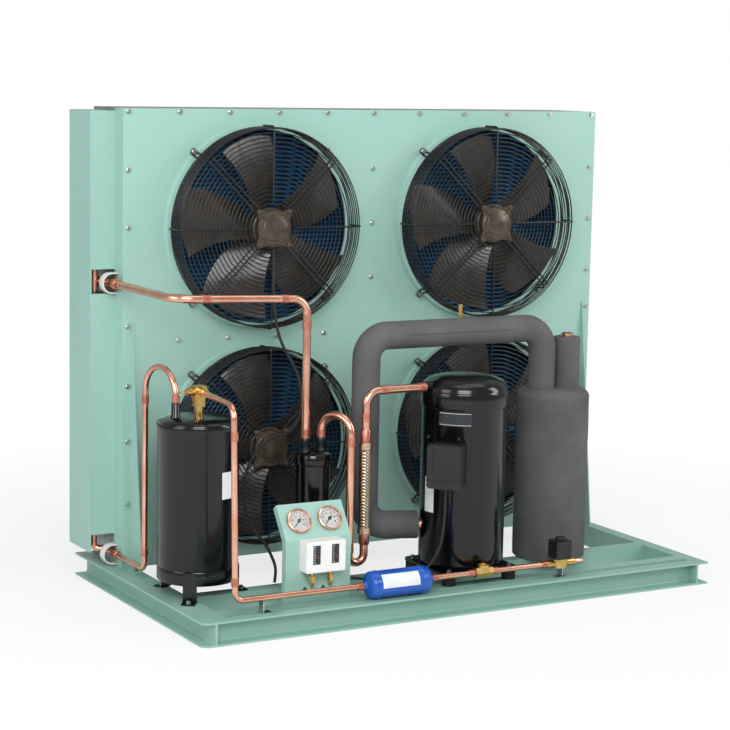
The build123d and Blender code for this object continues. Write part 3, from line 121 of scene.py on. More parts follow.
def pipe(path, radius, sides=20, capped=True):
    # Circles of the given radius, or radii, square to the path; the ends are closed by fans.
    path = np.asarray(path, float)
    tangent = np.gradient(path, axis=0)
    tangent[0], tangent[-1] = path[1] - path[0], path[-1] - path[-2]
    tangent /= np.linalg.norm(tangent, axis=1)[:, None]
    tries = np.array([[1, 1, 1], [1, -1, 1], [-1, 1, 1], [1, 1, -1], [1, 0.2, 0.1], [0.1, 1, 0.2],
                      [0.2, 0.1, 1]])
    tries = tries / np.linalg.norm(tries, axis=1)[:, None]
    ref = tries[np.abs(tangent @ tries.T).max(axis=0).argmin()]
    u = ref - (tangent @ ref)[:, None] * tangent
    u /= np.linalg.norm(u, axis=1)[:, None]
    v = np.cross(tangent, u)
    a = np.linspace(0, 2 * np.pi, sides, endpoint=False)
    r = np.broadcast_to(np.asarray(radius, float), (len(path),))
    rings = path[:, None] + r[:, None,
                              None] * (np.cos(a)[:, None] * u[:, None] + np.sin(a)[:, None] * v[:, None])
    points = rings.reshape(-1, 3)
    faces = gridFaces(len(path), sides, False, True)
    if capped:
        k = np.arange(sides)
        for pole, start, first in ((path[0], 0, True), (path[-1], (len(path) - 1) * sides, False)):
            points = np.vstack([points, pole])
            fan = np.stack([np.full(sides, len(points) - 1), start + (k + 1) % sides, start + k], -1)
            faces += (fan if first else fan[:, ::-1]).tolist()
    return points, faces


def hoops(radii, heights, wire, sides=8, turns=112):
    # Rings of round wire about +Z: radius R + wire cos b, height h + wire sin b, for all rings at once.
    R = np.array(radii)[:, None, None]
    h = np.array(heights)[:, None, None]
    a = np.linspace(0, 2 * np.pi, turns, endpoint=False)[None, :, None]
    b = np.linspace(0, 2 * np.pi, sides, endpoint=False)[None, None, :]
    rad = R + wire * np.cos(b)
    P = np.stack([rad * np.cos(a), rad * np.sin(a), h + wire * np.sin(b) + 0 * a], -1)
    one = np.array(gridFaces(turns, sides, True, True))
    faces = np.concatenate([one + i * turns * sides for i in range(len(radii))])
    return P.reshape(-1, 3), faces.tolist()


def block(low, high):
    # The eight corners of a box and its six faces.
    lo, hi = np.array(low, float), np.array(high, float)
    c = np.array([[x, y, z] for z in (0, 1) for y in (0, 1) for x in (0, 1)])
    return lo + c * (hi - lo), [[0, 2, 3, 1], [4, 5, 7, 6], [0, 1, 5, 4], [2, 6, 7, 3], [0, 4, 6, 2],
                                [1, 3, 7, 5]]


def prism(outline, origin, u, v, depth):
    # A flat outline (x, y) placed by x*u + y*v and carried along their cross product by depth.
    outline = np.array(outline, float)
    u, v = np.array(u, float), np.array(v, float)
    w = np.cross(u, v)
    base = np.array(origin) + outline[:, :1] * u + outline[:, 1:] * v
    n = len(outline)
    points = np.vstack([base, base + depth * w])
    k = np.arange(n)
    side = np.stack([k, (k + 1) % n, n + (k + 1) % n, n + k], -1).tolist()
    return points, side + [list(range(n))[::-1], list(range(n, 2 * n))]


def roundedRect(width, height, corner, steps=6):
    # Four quarter circles at the corners of a rectangle, joined in order.
    a = np.linspace(0, np.pi / 2, steps)
    out = []
    for i, (sx, sy) in enumerate(((1, 1), (-1, 1), (-1, -1), (1, -1))):
        t = a + i * np.pi / 2
        out.append(np.stack([sx * (width / 2 - corner) + corner * np.cos(t),
                             sy * (height / 2 - corner) + corner * np.sin(t)], -1))
    return np.concatenate(out)


def piece(name, parts, material, replaced=(), body=unit, crisp=35, bevel=0.0):
    # One object from several surfaces, smooth except over edges sharper than the crisp angle.
    points, faces = joinParts(parts)
    mesh = bpy.data.meshes.new(name)
    mesh.from_pydata(points.tolist(), [], faces)
    mesh.update()
    work = bmesh.new()
    work.from_mesh(mesh)
    bmesh.ops.recalc_face_normals(work, faces=work.faces)
    work.to_mesh(mesh)
    work.free()
    mesh.shade_smooth()
    mesh.set_sharp_from_angle(angle=math.radians(crisp))
    obj = bpy.data.objects.new(name, mesh)
    bpy.context.scene.collection.objects.link(obj)
    mesh.materials.append(material)
    if bevel:
        edge = obj.modifiers.new("edge", "BEVEL")
        edge.width = bevel
        edge.segments = 2
        edge.limit_method = "ANGLE"
        edge.angle_limit = math.radians(40)
    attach(obj, body)
    if replaced:
        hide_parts(*replaced)
    return obj


def rgb(r, g, b):
    # Screen colour 0-255 to the shader's linear colour.
    c = np.array([r, g, b]) / 255.0
    lin = np.where(c <= 0.04045, c / 12.92, ((c + 0.055) / 1.055) ** 2.4)
    return (*[float(x) for x in lin], 1.0)


def shader(name, **sockets):
    m = bpy.data.materials.new(name)
    m.use_nodes = True
    tree = m.node_tree
    bsdf = tree.nodes["Principled BSDF"]
    for key, value in sockets.items():
        bsdf.inputs[key.replace("_", " ")].default_value = value
    coord = tree.nodes.new("ShaderNodeTexCoord")
    return m, tree, bsdf, coord.outputs["Object"]


def noise(tree, coord, scale, detail=3.0, stretch=None):
    n = tree.nodes.new("ShaderNodeTexNoise")
    n.inputs["Scale"].default_value = scale
    n.inputs["Detail"].default_value = detail
    if stretch:
        mapping = tree.nodes.new("ShaderNodeMapping")
        mapping.inputs["Scale"].default_value = stretch
        tree.links.new(coord, mapping.inputs["Vector"])
        coord = mapping.outputs["Vector"]
    tree.links.new(coord, n.inputs["Vector"])
    return n.outputs["Fac"]


def span(tree, fac, low, high, start=0.3, end=0.7):
    # Carry a 0-1 pattern to a range of numbers.
    r = tree.nodes.new("ShaderNodeMapRange")
    r.inputs["From Min"].default_value = start
    r.inputs["From Max"].default_value = end
    r.inputs["To Min"].default_value = low
    r.inputs["To Max"].default_value = high
    tree.links.new(fac, r.inputs["Value"])
    return r.outputs["Result"]


def mixed(tree, fac, a, b):
    # Two colours, or a colour and a link, mixed by a pattern.
    m = tree.nodes.new("ShaderNodeMix")
    m.data_type = "RGBA"
    tree.links.new(fac, m.inputs["Factor"])
    for socket, value in ((6, a), (7, b)):
        if isinstance(value, tuple):
            m.inputs[socket].default_value = value
        else:
            tree.links.new(value, m.inputs[socket])
    return m.outputs[2]


def bump(tree, bsdf, height, strength, distance=0.001):
    b = tree.nodes.new("ShaderNodeBump")
    b.inputs["Strength"].default_value = strength
    b.inputs["Distance"].default_value = distance
    tree.links.new(height, b.inputs["Height"])
    tree.links.new(b.outputs["Normal"], bsdf.inputs["Normal"])


def finish(name, colour, colour2=None, rough=(0.3, 0.45), scale=12.0, grain=0.0, grainScale=600.0,
           **sockets):
    # Colour drifting between two shades, roughness drifting in a range, and a fine grain as bump.
    m, tree, bsdf, coord = shader(name, **sockets)
    drift = noise(tree, coord, scale)
    tree.links.new(mixed(tree, span(tree, drift, 0.0, 1.0), colour, colour2 or colour),
                   bsdf.inputs["Base Color"])
    tree.links.new(span(tree, noise(tree, coord, scale * 2.7), rough[0], rough[1]),
                   bsdf.inputs["Roughness"])
    if grain:
        bump(tree, bsdf, noise(tree, coord, grainScale, 2.0), grain, 0.0006)
    return m


def banded(name, dark, light, axis, pitch, rough, strength=0.3, distance=0.001, share=(0.2, 0.8),
           **sockets):
    # Fine parallel lines across one axis: colour and bump follow a sine wave of the pitch.
    m, tree, bsdf, coord = shader(name, **sockets)
    wave = tree.nodes.new("ShaderNodeTexWave")
    wave.bands_direction = axis
    wave.inputs["Scale"].default_value = 0.31416 / pitch
    tree.links.new(coord, wave.inputs["Vector"])
    tree.links.new(mixed(tree, span(tree, wave.outputs["Fac"], 0, 1, *share), dark, light),
                   bsdf.inputs["Base Color"])
    bsdf.inputs["Roughness"].default_value = rough
    bump(tree, bsdf, wave.outputs["Fac"], strength, distance)
    return m


greenPaint = finish("greenPaint", rgb(150, 190, 178), rgb(155, 194, 182), (0.34, 0.44), 3.0, 0.06, 260.0)
baseGreen = finish("baseGreen", rgb(136, 176, 163), rgb(143, 182, 169), (0.32, 0.42), 5.0, 0.06, 260.0)
galvanised = finish("galvanised", rgb(176, 182, 182), rgb(150, 158, 158), (0.3, 0.5), 30.0, 0.0,
                    Metallic=0.9)
copper = finish("copper", rgb(238, 184, 158), rgb(226, 158, 130), (0.18, 0.3), 14.0, 0.03, 300.0,
                Metallic=1.0)
brazedCopper = finish("brazedCopper", rgb(226, 156, 134), rgb(186, 112, 88), (0.26, 0.42), 45.0, 0.08,
                      300.0, Metallic=1.0)
brass = finish("brass", rgb(214, 182, 112), rgb(196, 160, 92), (0.2, 0.34), 60.0, 0.03, 400.0, Metallic=1.0)
silverBraze = finish("silverBraze", rgb(214, 196, 172), rgb(190, 160, 130), (0.25, 0.4), 120.0, 0.1, 500.0,
                     Metallic=1.0)
blackWire = finish("blackWire", rgb(18, 18, 19), rgb(26, 26, 27), (0.22, 0.32), 25.0)
blackBlade = finish("blackBlade", rgb(52, 48, 44), rgb(66, 60, 54), (0.14, 0.26), 18.0, 0.02, 500.0)
motorCasting = finish("motorCasting", rgb(78, 68, 58), rgb(98, 86, 74), (0.18, 0.32), 40.0, 0.1, 500.0,
                      Metallic=0.6)
zinc = finish("zinc", rgb(205, 207, 205), rgb(170, 174, 174), (0.22, 0.36), 90.0, Metallic=1.0)
blackGloss = finish("blackGloss", rgb(5, 5, 6), rgb(8, 8, 9), (0.12, 0.2), 9.0, 0.02, 180.0)
blackPlastic = finish("blackPlastic", rgb(17, 17, 18), rgb(24, 24, 25), (0.3, 0.42), 40.0, 0.08, 700.0)
rubber = finish("rubber", rgb(24, 24, 24), rgb(33, 33, 33), (0.6, 0.75), 60.0, 0.1, 600.0)
foam = finish("foam", rgb(78, 77, 78), rgb(94, 93, 94), (0.72, 0.86), 10.0, 0.35, 420.0)
whitePlastic = finish("whitePlastic", rgb(224, 224, 218), rgb(232, 232, 228), (0.35, 0.48), 50.0)
creamPlastic = finish("creamPlastic", rgb(222, 214, 196), rgb(206, 196, 176), (0.35, 0.5), 60.0)
paper = finish("paper", rgb(226, 228, 226), rgb(214, 217, 216), (0.4, 0.55), 40.0)
dialFace = finish("dialFace", rgb(240, 240, 236), rgb(246, 246, 244), (0.3, 0.4), 60.0)
ink = finish("ink", rgb(28, 28, 30), rgb(40, 40, 42), (0.4, 0.5), 80.0)
redPaint = finish("redPaint", rgb(196, 30, 28), rgb(178, 24, 24), (0.35, 0.5), 60.0)
blueInk = finish("blueInk", rgb(40, 90, 190), rgb(50, 100, 200), (0.35, 0.5), 60.0)
blueDrier = finish("blueDrier", rgb(22, 78, 168), rgb(28, 88, 180), (0.16, 0.28), 20.0, 0.03, 300.0)
darkScale = finish("darkScale", rgb(30, 34, 38), rgb(40, 44, 50), (0.2, 0.3), 50.0)
blueFins = banded("blueFins", rgb(8, 38, 66), rgb(30, 108, 158), "Z", 0.0125, 0.36, 0.7, 0.004,
                  Metallic=0.35)
braid = banded("braid", rgb(120, 100, 78), rgb(222, 206, 180), "DIAGONAL", 0.0042, 0.3, 0.9, 0.0012,
               Metallic=1.0)

lensGlass, lensTree, lensShader, lensCoord = shader("lensGlass", Metallic=0.0, IOR=1.45)
lensShader.inputs["Transmission Weight"].default_value = 1.0
lensTree.links.new(span(lensTree, noise(lensTree, lensCoord, 30.0), 0.01, 0.03),
                   lensShader.inputs["Roughness"])
lensShader.inputs["Base Color"].default_value = (1, 1, 1, 1)
print("materials made")


def repaint(material, *names):
    for name in names:
        obj = bpy.data.objects[name] if name in bpy.data.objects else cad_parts[name]
        for s in obj.material_slots:
            s.material = material
        if not obj.material_slots:
            obj.data.materials.append(material)


repaint(greenPaint, "fan_panel", "plenum_wrap", "plenum_divider", "end_cover_left", "end_cover_right",
        "braces", "gauge_panel")
repaint(baseGreen, "rail_left_outer", "rail_left_inner", "rail_right", "rail_front", "crossmember_front",
        "crossmember_rear")
repaint(galvanised, "coil_casing")
repaint(blueFins, "coil_block")
repaint(copper, "coil_headers", "return_bends", "suction_pipes")
repaint(whitePlastic, "pipe_trims", "pressure_control")
repaint(blackBlade, "impeller_upper_left", "impeller_upper_right", "impeller_lower_left",
        "impeller_lower_right")
repaint(zinc, "panel_screws", "guard_bolts", "foot_bolts", "pipe_brackets")
repaint(rubber, "fan_cable", "compressor_cable", "compressor_grommets")
repaint(blackPlastic, "terminal_box", "solenoid_coil")
repaint(brass, "receiver_valve", "valve_stem", "service_fittings", "sight_glass", "solenoid_valve")
repaint(foam, "accumulator_jacket", "suction_insulation")
repaint(blackGloss, "accumulator_vessel")
repaint(lensGlass, "gauge_lenses")
repaint(ink, "pointer_high", "pointer_low")
repaint(copper, "gauge_cases")
print("kept nodes painted")


fan = {
    "face": 195 * mm, "columns": (-326.5 * mm, 394.5 * mm), "rows": (991.55 * mm, 383.95 * mm),
    "hub": 69 * mm, "rim": 278 * mm, "front": 88 * mm, "wire": 2.5 * mm, "frontRings": 18, "sideRings": 6,
    "bolts": 291.4 * mm, "eyeletHeight": 14.5 * mm, "armGap": 7 * mm,
}


def toPanel(points, x, z):
    # A fan's own (x, y, z), with z out of the panel, to the frame: (x, face - z, z0 + y).
    return np.stack([x + points[:, 0], fan["face"] - points[:, 2], z + points[:, 1]], -1)


def spun(points, turn):
    c, s = math.cos(turn), math.sin(turn)
    return points @ np.array([[c, s, 0], [-s, c, 0], [0, 0, 1]])


def guardParts():
    # Front rings evenly spaced between hub and rim, rings down the side, spokes and twin-wire arms.
    f, w = fan["front"], fan["wire"]
    radii = np.linspace(fan["hub"], fan["rim"] - 6 * mm, fan["frontRings"])
    heights = np.full(fan["frontRings"], f - 4 * mm)
    heights[0] = f
    side = np.linspace(f - 8 * mm, 24 * mm, fan["sideRings"])
    parts = [hoops(radii, heights, 1.7 * mm),
             hoops(np.full(len(side), fan["rim"] - 4 * mm), side, 1.7 * mm)]
    spoke = pipe(route([(fan["hub"], 0, f), (fan["rim"], 0, f), (fan["rim"], 0, 22 * mm)], [12 * mm], 0.2),
                 w, 8)
    arms = []
    for s in (-1, 1):
        y = s * fan["armGap"]
        line = [(fan["hub"], y, f), (fan["rim"] - 14 * mm, y, f),
                (fan["bolts"] - 13 * mm, y, fan["eyeletHeight"]),
                (fan["bolts"], y, fan["eyeletHeight"])]
        arms.append(pipe(route(line, [14 * mm, 4 * mm], 0.25), w, 8))
    eye = hoops([fan["armGap"]], [fan["eyeletHeight"]], w, 8, 24)
    eye = (eye[0] + np.array([fan["bolts"], 0, 0]), eye[1])
    for k in range(4):
        parts.append((spun(spoke[0], k * math.pi / 2), spoke[1]))
        for part in (*arms, eye):
            parts.append((spun(part[0], math.pi / 4 + k * math.pi / 2), part[1]))
    return joinParts(parts)


def motorParts():
    # Four lobes round a disc, a stepped cap with a rib ring, screws, and the drum behind it.
    z0 = fan["front"] + 2.6 * mm
    a = np.linspace(0, 2 * np.pi, 128, endpoint=False)
    lobe = 50 * mm + 24 * mm * np.exp(-((np.mod(a - np.pi / 4 + np.pi / 4,
                                                np.pi / 2) - np.pi / 4) / 0.2) ** 2)
    outline = np.stack([lobe * np.cos(a), lobe * np.sin(a)], -1)
    plate = prism(outline, (0, 0, z0), (1, 0, 0), (0, 1, 0), 7 * mm)
    cap = turned([(0, 12.0 * mm), (30 * mm, 12.0 * mm), (33 * mm, 11 * mm), (34 * mm, 9.4 * mm),
                  (37 * mm, 9.4 * mm),
                  (39 * mm, 8.6 * mm), (43 * mm, 8.4 * mm), (45 * mm, 6.8 * mm), (45 * mm, 0),
                  (0, 0)][::-1],
                 (0, 0, z0))
    neck = turned([(0, -8 * mm), (44 * mm, -8 * mm), (44 * mm, 0), (0, 0)], (0, 0, z0))
    parts = [plate, cap, neck]
    for k in range(4):
        t = math.pi / 4 + k * math.pi / 2
        at = (65 * mm * math.cos(t), 65 * mm * math.sin(t))
        parts.append(turned([(0, 11 * mm), (5 * mm, 11 * mm), (6.2 * mm, 9.6 * mm), (6.2 * mm, 7 * mm),
                             (0, 7 * mm)][::-1],
                            (*at, z0), sides=20))
        rib = prism([(-17 * mm, -2 * mm), (17 * mm, -2 * mm), (17 * mm, 2 * mm), (-17 * mm, 2 * mm)],
                    (0, 0, z0 + 7 * mm), (math.cos(t), math.sin(t), 0), (-math.sin(t), math.cos(t), 0),
                    2.4 * mm)
        parts.append((rib[0] + np.array([at[0] * 0.72, at[1] * 0.72, 0]), rib[1]))
    return joinParts(parts)


guard, motor = guardParts(), motorParts()
motorPieces = []
for rowName, z in zip(("upper", "lower"), fan["rows"]):
    for sideName, x in zip(("left", "right"), fan["columns"]):
        name = f"{rowName}_{sideName}"
        piece(f"guardWires_{name}", [(toPanel(guard[0], x, z), guard[1])], blackWire,
              (f"fan_guard_{name}",),
              crisp=60)
        motorPieces.append((toPanel(motor[0], x, z), motor[1]))
piece("motorCaps", motorPieces, motorCasting, ("fan_motors",), bevel=0.6 * mm)
print("fans made")


compressor = {"x": 81 * mm, "y": -248.75 * mm, "radius": 116 * mm, "low": 98 * mm,
              "skirt": (535 * mm, 578 * mm), "top": 618 * mm}


def domeProfile(radius, start, top, steps=14):
    # A quarter of a flattened ellipse: r = R cos^0.55 t, h from start to top by sin t.
    t = np.linspace(0, np.pi / 2, steps)
    return [(float(radius * math.cos(a) ** 0.55 if a < np.pi / 2 - 1e-6 else 0.0),
             float(start + (top - start) * math.sin(a))) for a in t]


def compressorParts():
    c = compressor
    R, (low, high) = c["radius"], c["skirt"]
    body = [(0, c["low"]), (R - 9 * mm, c["low"]), (R - 2 * mm, c["low"] + 6 * mm), (R, c["low"] + 14 * mm),
            (R, low - 3 * mm), (R + 1.5 * mm, low - 1 * mm), (R + 3 * mm, low + 1.5 * mm),
            (R + 3 * mm, high - 3 * mm), (R + 2 * mm, high)]
    body += domeProfile(R + 1 * mm, high + 1 * mm, c["top"])
    parts = [turned(body, (c["x"], c["y"], 0), sides=128)]
    plate = prism(roundedRect(234.5 * mm, 234.5 * mm, 24 * mm), (c["x"], c["y"], c["low"] - 6 * mm),
                  (1, 0, 0), (0, 1, 0), 6 * mm)
    parts.append(plate)
    parts.append(pipe([(c["x"] - 84 * mm, c["y"], 588 * mm), (c["x"] - 124 * mm, c["y"], 588 * mm)],
                      15 * mm, 28))
    parts.append(turned([(0, 0), (8 * mm, 0), (8 * mm, 7 * mm), (6 * mm, 9 * mm), (0, 9 * mm)],
                        (c["x"] + 20 * mm, c["y"] - 40 * mm, c["top"] - 10 * mm), sides=24))
    return parts


piece("compressorShell", compressorParts(), blackGloss, ("compressor_shell",), crisp=40)

receiver = {"x": -659 * mm, "y": -138.5 * mm, "radius": 106 * mm, "low": 106 * mm, "dome": 505 * mm,
            "top": 535 * mm}


def receiverParts():
    c = receiver
    R = c["radius"]
    body = [(0, c["low"] + 14 * mm), (R - 14 * mm, c["low"] + 10 * mm), (R - 12 * mm, c["low"]),
            (R - 2 * mm, c["low"]),
            (R, c["low"] + 3 * mm), (R, c["low"] + 34 * mm), (R - 1 * mm, c["low"] + 36 * mm),
            (R, c["low"] + 38 * mm),
            (R, c["dome"] - 3 * mm), (R + 2.4 * mm, c["dome"]), (R + 3 * mm, c["dome"] + 3 * mm),
            (R + 3 * mm, c["dome"] + 11 * mm), (R + 2 * mm, c["dome"] + 13.5 * mm),
            (R - 3 * mm, c["dome"] + 14 * mm),
            (R - 6 * mm, c["dome"] + 12 * mm)]
    body += domeProfile(R - 8 * mm, c["dome"] + 12 * mm, c["top"])
    parts = [turned(body, (c["x"], c["y"], 0), sides=128)]
    for k in range(3):
        t = math.radians(-5 + 120 * k)
        out, across = np.array([math.cos(t), math.sin(t), 0]), np.array([-math.sin(t), math.cos(t), 0])
        foot = np.array([c["x"], c["y"], 63 * mm]) + out * (R - 1 * mm)
        upright = prism([(-18 * mm, 0), (18 * mm, 0), (18 * mm, 70 * mm), (12 * mm, 78 * mm),
                         (-12 * mm, 78 * mm), (-18 * mm, 70 * mm)],
                        foot, across, (0, 0, 1), 5 * mm)
        parts.append(upright)
        parts.append(prism([(-18 * mm, 0), (18 * mm, 0), (18 * mm, 4 * mm), (-18 * mm, 4 * mm)], foot,
                           across, (0, 0, 1), 30 * mm))
    parts.append(turned([(0, 500 * mm), (14 * mm, 500 * mm), (14 * mm, 534 * mm), (11.5 * mm, 538 * mm),
                         (11 * mm, 568 * mm),
                         (10 * mm, 570 * mm), (0, 570 * mm)], (-721 * mm, -131.5 * mm, 0), sides=32))
    return parts


piece("receiverTank", receiverParts(), blackGloss, ("receiver_tank",), crisp=40)

separator = {"x": -334 * mm, "y": -160 * mm, "radius": 45 * mm, "low": 63 * mm, "cap": 387 * mm,
             "top": 421 * mm}


def separatorParts():
    c = separator
    R = c["radius"]
    body = [(0, c["low"]), (R - 8 * mm, c["low"]), (R - 2 * mm, c["low"] + 4 * mm), (R, c["low"] + 10 * mm),
            (R, c["cap"] - 2 * mm), (R + 3 * mm, c["cap"]), (R + 4 * mm, c["cap"] + 2 * mm),
            (R + 4 * mm, c["cap"] + 20 * mm), (R + 1 * mm, c["cap"] + 28 * mm),
            (R - 8 * mm, c["top"] - 1.5 * mm),
            (R - 16 * mm, c["top"]), (0, c["top"])]
    parts = [turned(body, (c["x"], c["y"], 0), sides=96)]
    for dx in (-24 * mm, 24 * mm):
        parts.append(turned([(0, 414 * mm), (16 * mm, 414 * mm), (16 * mm, 424 * mm), (13 * mm, 427 * mm),
                             (13 * mm, 455 * mm),
                             (12 * mm, 457 * mm), (0, 457 * mm)], (c["x"] + dx, c["y"], 0), sides=32))
    return parts


piece("oilSeparator", separatorParts(), blackGloss, ("oil_separator",), crisp=40)

accumulator = {"x": 436 * mm, "y": -153.5 * mm, "radius": 103 * mm, "low": 63 * mm, "top": 548 * mm,
               "shoulder": 28 * mm}
suction = {
    "outer": 38 * mm, "bend": 62 * mm, "left": 394 * mm, "right": 478 * mm, "leg": -173 * mm,
           "run": 719 * mm,
    "lowRun": 204 * mm, "stubTop": 690 * mm,
}


def jacketParts():
    # Foam sleeve: slightly uneven radius down its length, with a rounded shoulder and a flat top.
    c = accumulator
    R, s = c["radius"], c["shoulder"]
    t = np.linspace(0, np.pi / 2, 10)
    body = [(0, c["low"]), (R - 5 * mm, c["low"]), (R - 1 * mm, c["low"] + 4 * mm)]
    h = np.linspace(c["low"] + 12 * mm, c["top"] - s, 24)
    body += [(float(R - 0.6 * mm - 0.5 * mm * math.sin(40 * k)), float(k)) for k in h]
    body += [(float(R - s + s * math.cos(a)), float(c["top"] - s + s * math.sin(a))) for a in t[1:]]
    body.append((0, c["top"]))
    return [turned(body, (c["x"], c["y"], 0), sides=128)]


def suctionParts():
    s, y = suction, accumulator["y"]
    toShell = np.array([compressor["x"] - s["leg"], compressor["y"] - y, 0])
    length = np.linalg.norm(toShell)
    end = np.array([s["leg"], y, s["lowRun"]]) + toShell / length * (length - compressor["radius"] - 8 * mm)
    path = route([(s["left"], y, accumulator["top"]), (s["left"], y, s["run"]), (s["leg"], y, s["run"]),
                  (s["leg"], y, s["lowRun"]), tuple(end)], [s["bend"]] * 3, 0.05)
    parts = [pipe(path, s["outer"], 48)]
    t = np.linspace(0, np.pi / 2, 6)
    stub = [(0, accumulator["top"] - 0.5 * mm), (s["outer"], accumulator["top"] - 0.5 * mm)]
    stub += [(float(s["outer"] - 4 * mm + 4 * mm * math.cos(a)),
              float(s["stubTop"] - 4 * mm + 4 * mm * math.sin(a))) for a in t]
    stub += [(18 * mm, s["stubTop"]), (18 * mm, s["stubTop"] - 10 * mm)]
    parts.append(turned(stub, (s["right"], y, 0), sides=64))
    return parts


piece("accumulatorJacket", jacketParts(), foam, ("accumulator_jacket",))
piece("suctionFoam", suctionParts(), foam, ("suction_insulation",), crisp=50)


seams = [
    pipe(route([(suction["leg"] + 120 * mm, accumulator["y"] - 37.6 * mm, suction["run"] + 3 * mm),
                (suction["left"] - 120 * mm, accumulator["y"] - 37.6 * mm, suction["run"] + 3 * mm)], []),
         0.7 * mm, 6),
]
piece("foamSeam", seams, rubber)
print("vessels made")


pipes = {"gas": 11 * mm, "liquid": 8 * mm, "liquidY": -387.5 * mm, "liquidZ": 101.3 * mm}


def collar(at, axis, radius, length, flare=1.0 * mm):
    # A brazed sleeve: a short tube with rounded ends, about a point on the pipe.
    h = length / 2
    return turned([(0, -h), (radius - flare, -h), (radius, -h + flare), (radius, h - flare),
                   (radius - flare, h), (0, h)],
                  at, axis, 28)


gasPath = route([(-746 * mm, 264 * mm, 843 * mm), (-746 * mm, -178 * mm, 843 * mm),
                 (-358 * mm, -160 * mm, 828 * mm),
                 (-358 * mm, -160 * mm, 457 * mm)], [60 * mm, 45 * mm])
gasParts = [pipe(gasPath, pipes["gas"], 28)]
gasBraze = [
    collar((-746 * mm, 209 * mm, 843 * mm), (0, 1, 0), 14.5 * mm, 26 * mm),
    collar((-746 * mm, 178 * mm, 843 * mm), (0, 1, 0), 12.4 * mm, 20 * mm),
    collar((-660 * mm, -174 * mm, 839.7 * mm), (388, 18, -15), 12.2 * mm, 26 * mm),
    collar((-428 * mm, -163.3 * mm, 830.7 * mm), (388, 18, -15), 12.2 * mm, 22 * mm),
    collar((-358 * mm, -160 * mm, 760 * mm), (0, 0, 1), 12.2 * mm, 22 * mm),
    collar((-358 * mm, -160 * mm, 470 * mm), (0, 0, 1), 12.4 * mm, 26 * mm),
]
piece("hotGasPipe", gasParts, copper, ("hot_gas_line",))
piece("hotGasSleeves", gasBraze, brazedCopper)

inletPath = route([(-742 * mm, 264 * mm, 101 * mm), (-742 * mm, 14 * mm, 101 * mm),
                   (-742 * mm, 14 * mm, 654 * mm),
                   (-721 * mm, -131.5 * mm, 654 * mm), (-721 * mm, -131.5 * mm, 570 * mm)],
                  [24 * mm, 72 * mm, 72 * mm])
piece("receiverInletPipe", [pipe(inletPath, pipes["liquid"], 24)], copper, ("receiver_inlet_line",))
piece("receiverInletSleeves", [
    collar((-742 * mm, 214 * mm, 101 * mm), (0, 1, 0), 10.5 * mm, 34 * mm),
    collar((-742 * mm, 14 * mm, 150 * mm), (0, 0, 1), 9.6 * mm, 24 * mm),
    collar((-742 * mm, 14 * mm, 560 * mm), (0, 0, 1), 9.6 * mm, 24 * mm),
    collar((-721 * mm, -131.5 * mm, 579 * mm), (0, 0, 1), 10 * mm, 18 * mm),
], brazedCopper)

dischargePath = route([(-43 * mm, -248.75 * mm, 588 * mm), (-224 * mm, -248.75 * mm, 588 * mm),
                       (-224 * mm, -248.75 * mm, 485 * mm)], [38 * mm])
piece("dischargePipe", [pipe(dischargePath, pipes["gas"], 28)], copper, ("discharge_line",))
riserPath = route([(-224 * mm, -248.75 * mm, 175 * mm), (-224 * mm, -248.75 * mm, 128 * mm),
                   (-269 * mm, -248.75 * mm, 128 * mm),
                   (-269 * mm, -248.75 * mm, 520 * mm), (-310 * mm, -160 * mm, 520 * mm),
                   (-310 * mm, -160 * mm, 457 * mm)],
                  [22 * mm, 22 * mm, 45 * mm, 45 * mm])
piece("dischargeRiser", [pipe(riserPath, pipes["gas"], 28)], copper, ("discharge_riser",))
piece("dischargeSleeves", [
    collar((-56 * mm, -248.75 * mm, 588 * mm), (1, 0, 0), 13.4 * mm, 24 * mm),
    collar((-170 * mm, -248.75 * mm, 588 * mm), (1, 0, 0), 12.4 * mm, 24 * mm),
    collar((-224 * mm, -248.75 * mm, 520 * mm), (0, 0, 1), 12.4 * mm, 24 * mm),
    collar((-269 * mm, -248.75 * mm, 168 * mm), (0, 0, 1), 12.6 * mm, 24 * mm),
    collar((-269 * mm, -248.75 * mm, 455 * mm), (0, 0, 1), 12.6 * mm, 24 * mm),
    collar((-310 * mm, -160 * mm, 468 * mm), (0, 0, 1), 12.6 * mm, 22 * mm),
], brazedCopper)

hose = {"x": -224 * mm, "y": -248.75 * mm}
hoseAt = (hose["x"], hose["y"], 0)
heights = np.linspace(224 * mm, 430 * mm, 60)
piece("hoseBraid",
      [turned([(0, 222 * mm)] + [(float(16 * mm + 0.5 * mm * math.sin(h * 900)), float(h)) for h in heights]
                           + [(0, 432 * mm)], hoseAt, sides=40)], braid, ("vibration_absorber",))
piece("hoseFerrules", [
    turned([(0, 204 * mm), (16 * mm, 204 * mm), (18 * mm, 206 * mm), (18 * mm, 221 * mm),
            (16.5 * mm, 223 * mm), (0, 223 * mm)], hoseAt, sides=40),
    turned([(0, 431 * mm), (16.5 * mm, 431 * mm), (18 * mm, 433 * mm), (18 * mm, 448 * mm),
            (16 * mm, 450 * mm), (0, 450 * mm)], hoseAt, sides=40),
], silverBraze)
piece("hoseEnds", [
    turned([(0, 175 * mm), (13 * mm, 175 * mm), (14 * mm, 176.5 * mm), (14 * mm, 205 * mm), (0, 205 * mm)],
           hoseAt, sides=32),
    turned([(0, 449 * mm), (14 * mm, 449 * mm), (14 * mm, 483 * mm), (13 * mm, 485 * mm), (0, 485 * mm)],
           hoseAt, sides=32),
], brazedCopper)

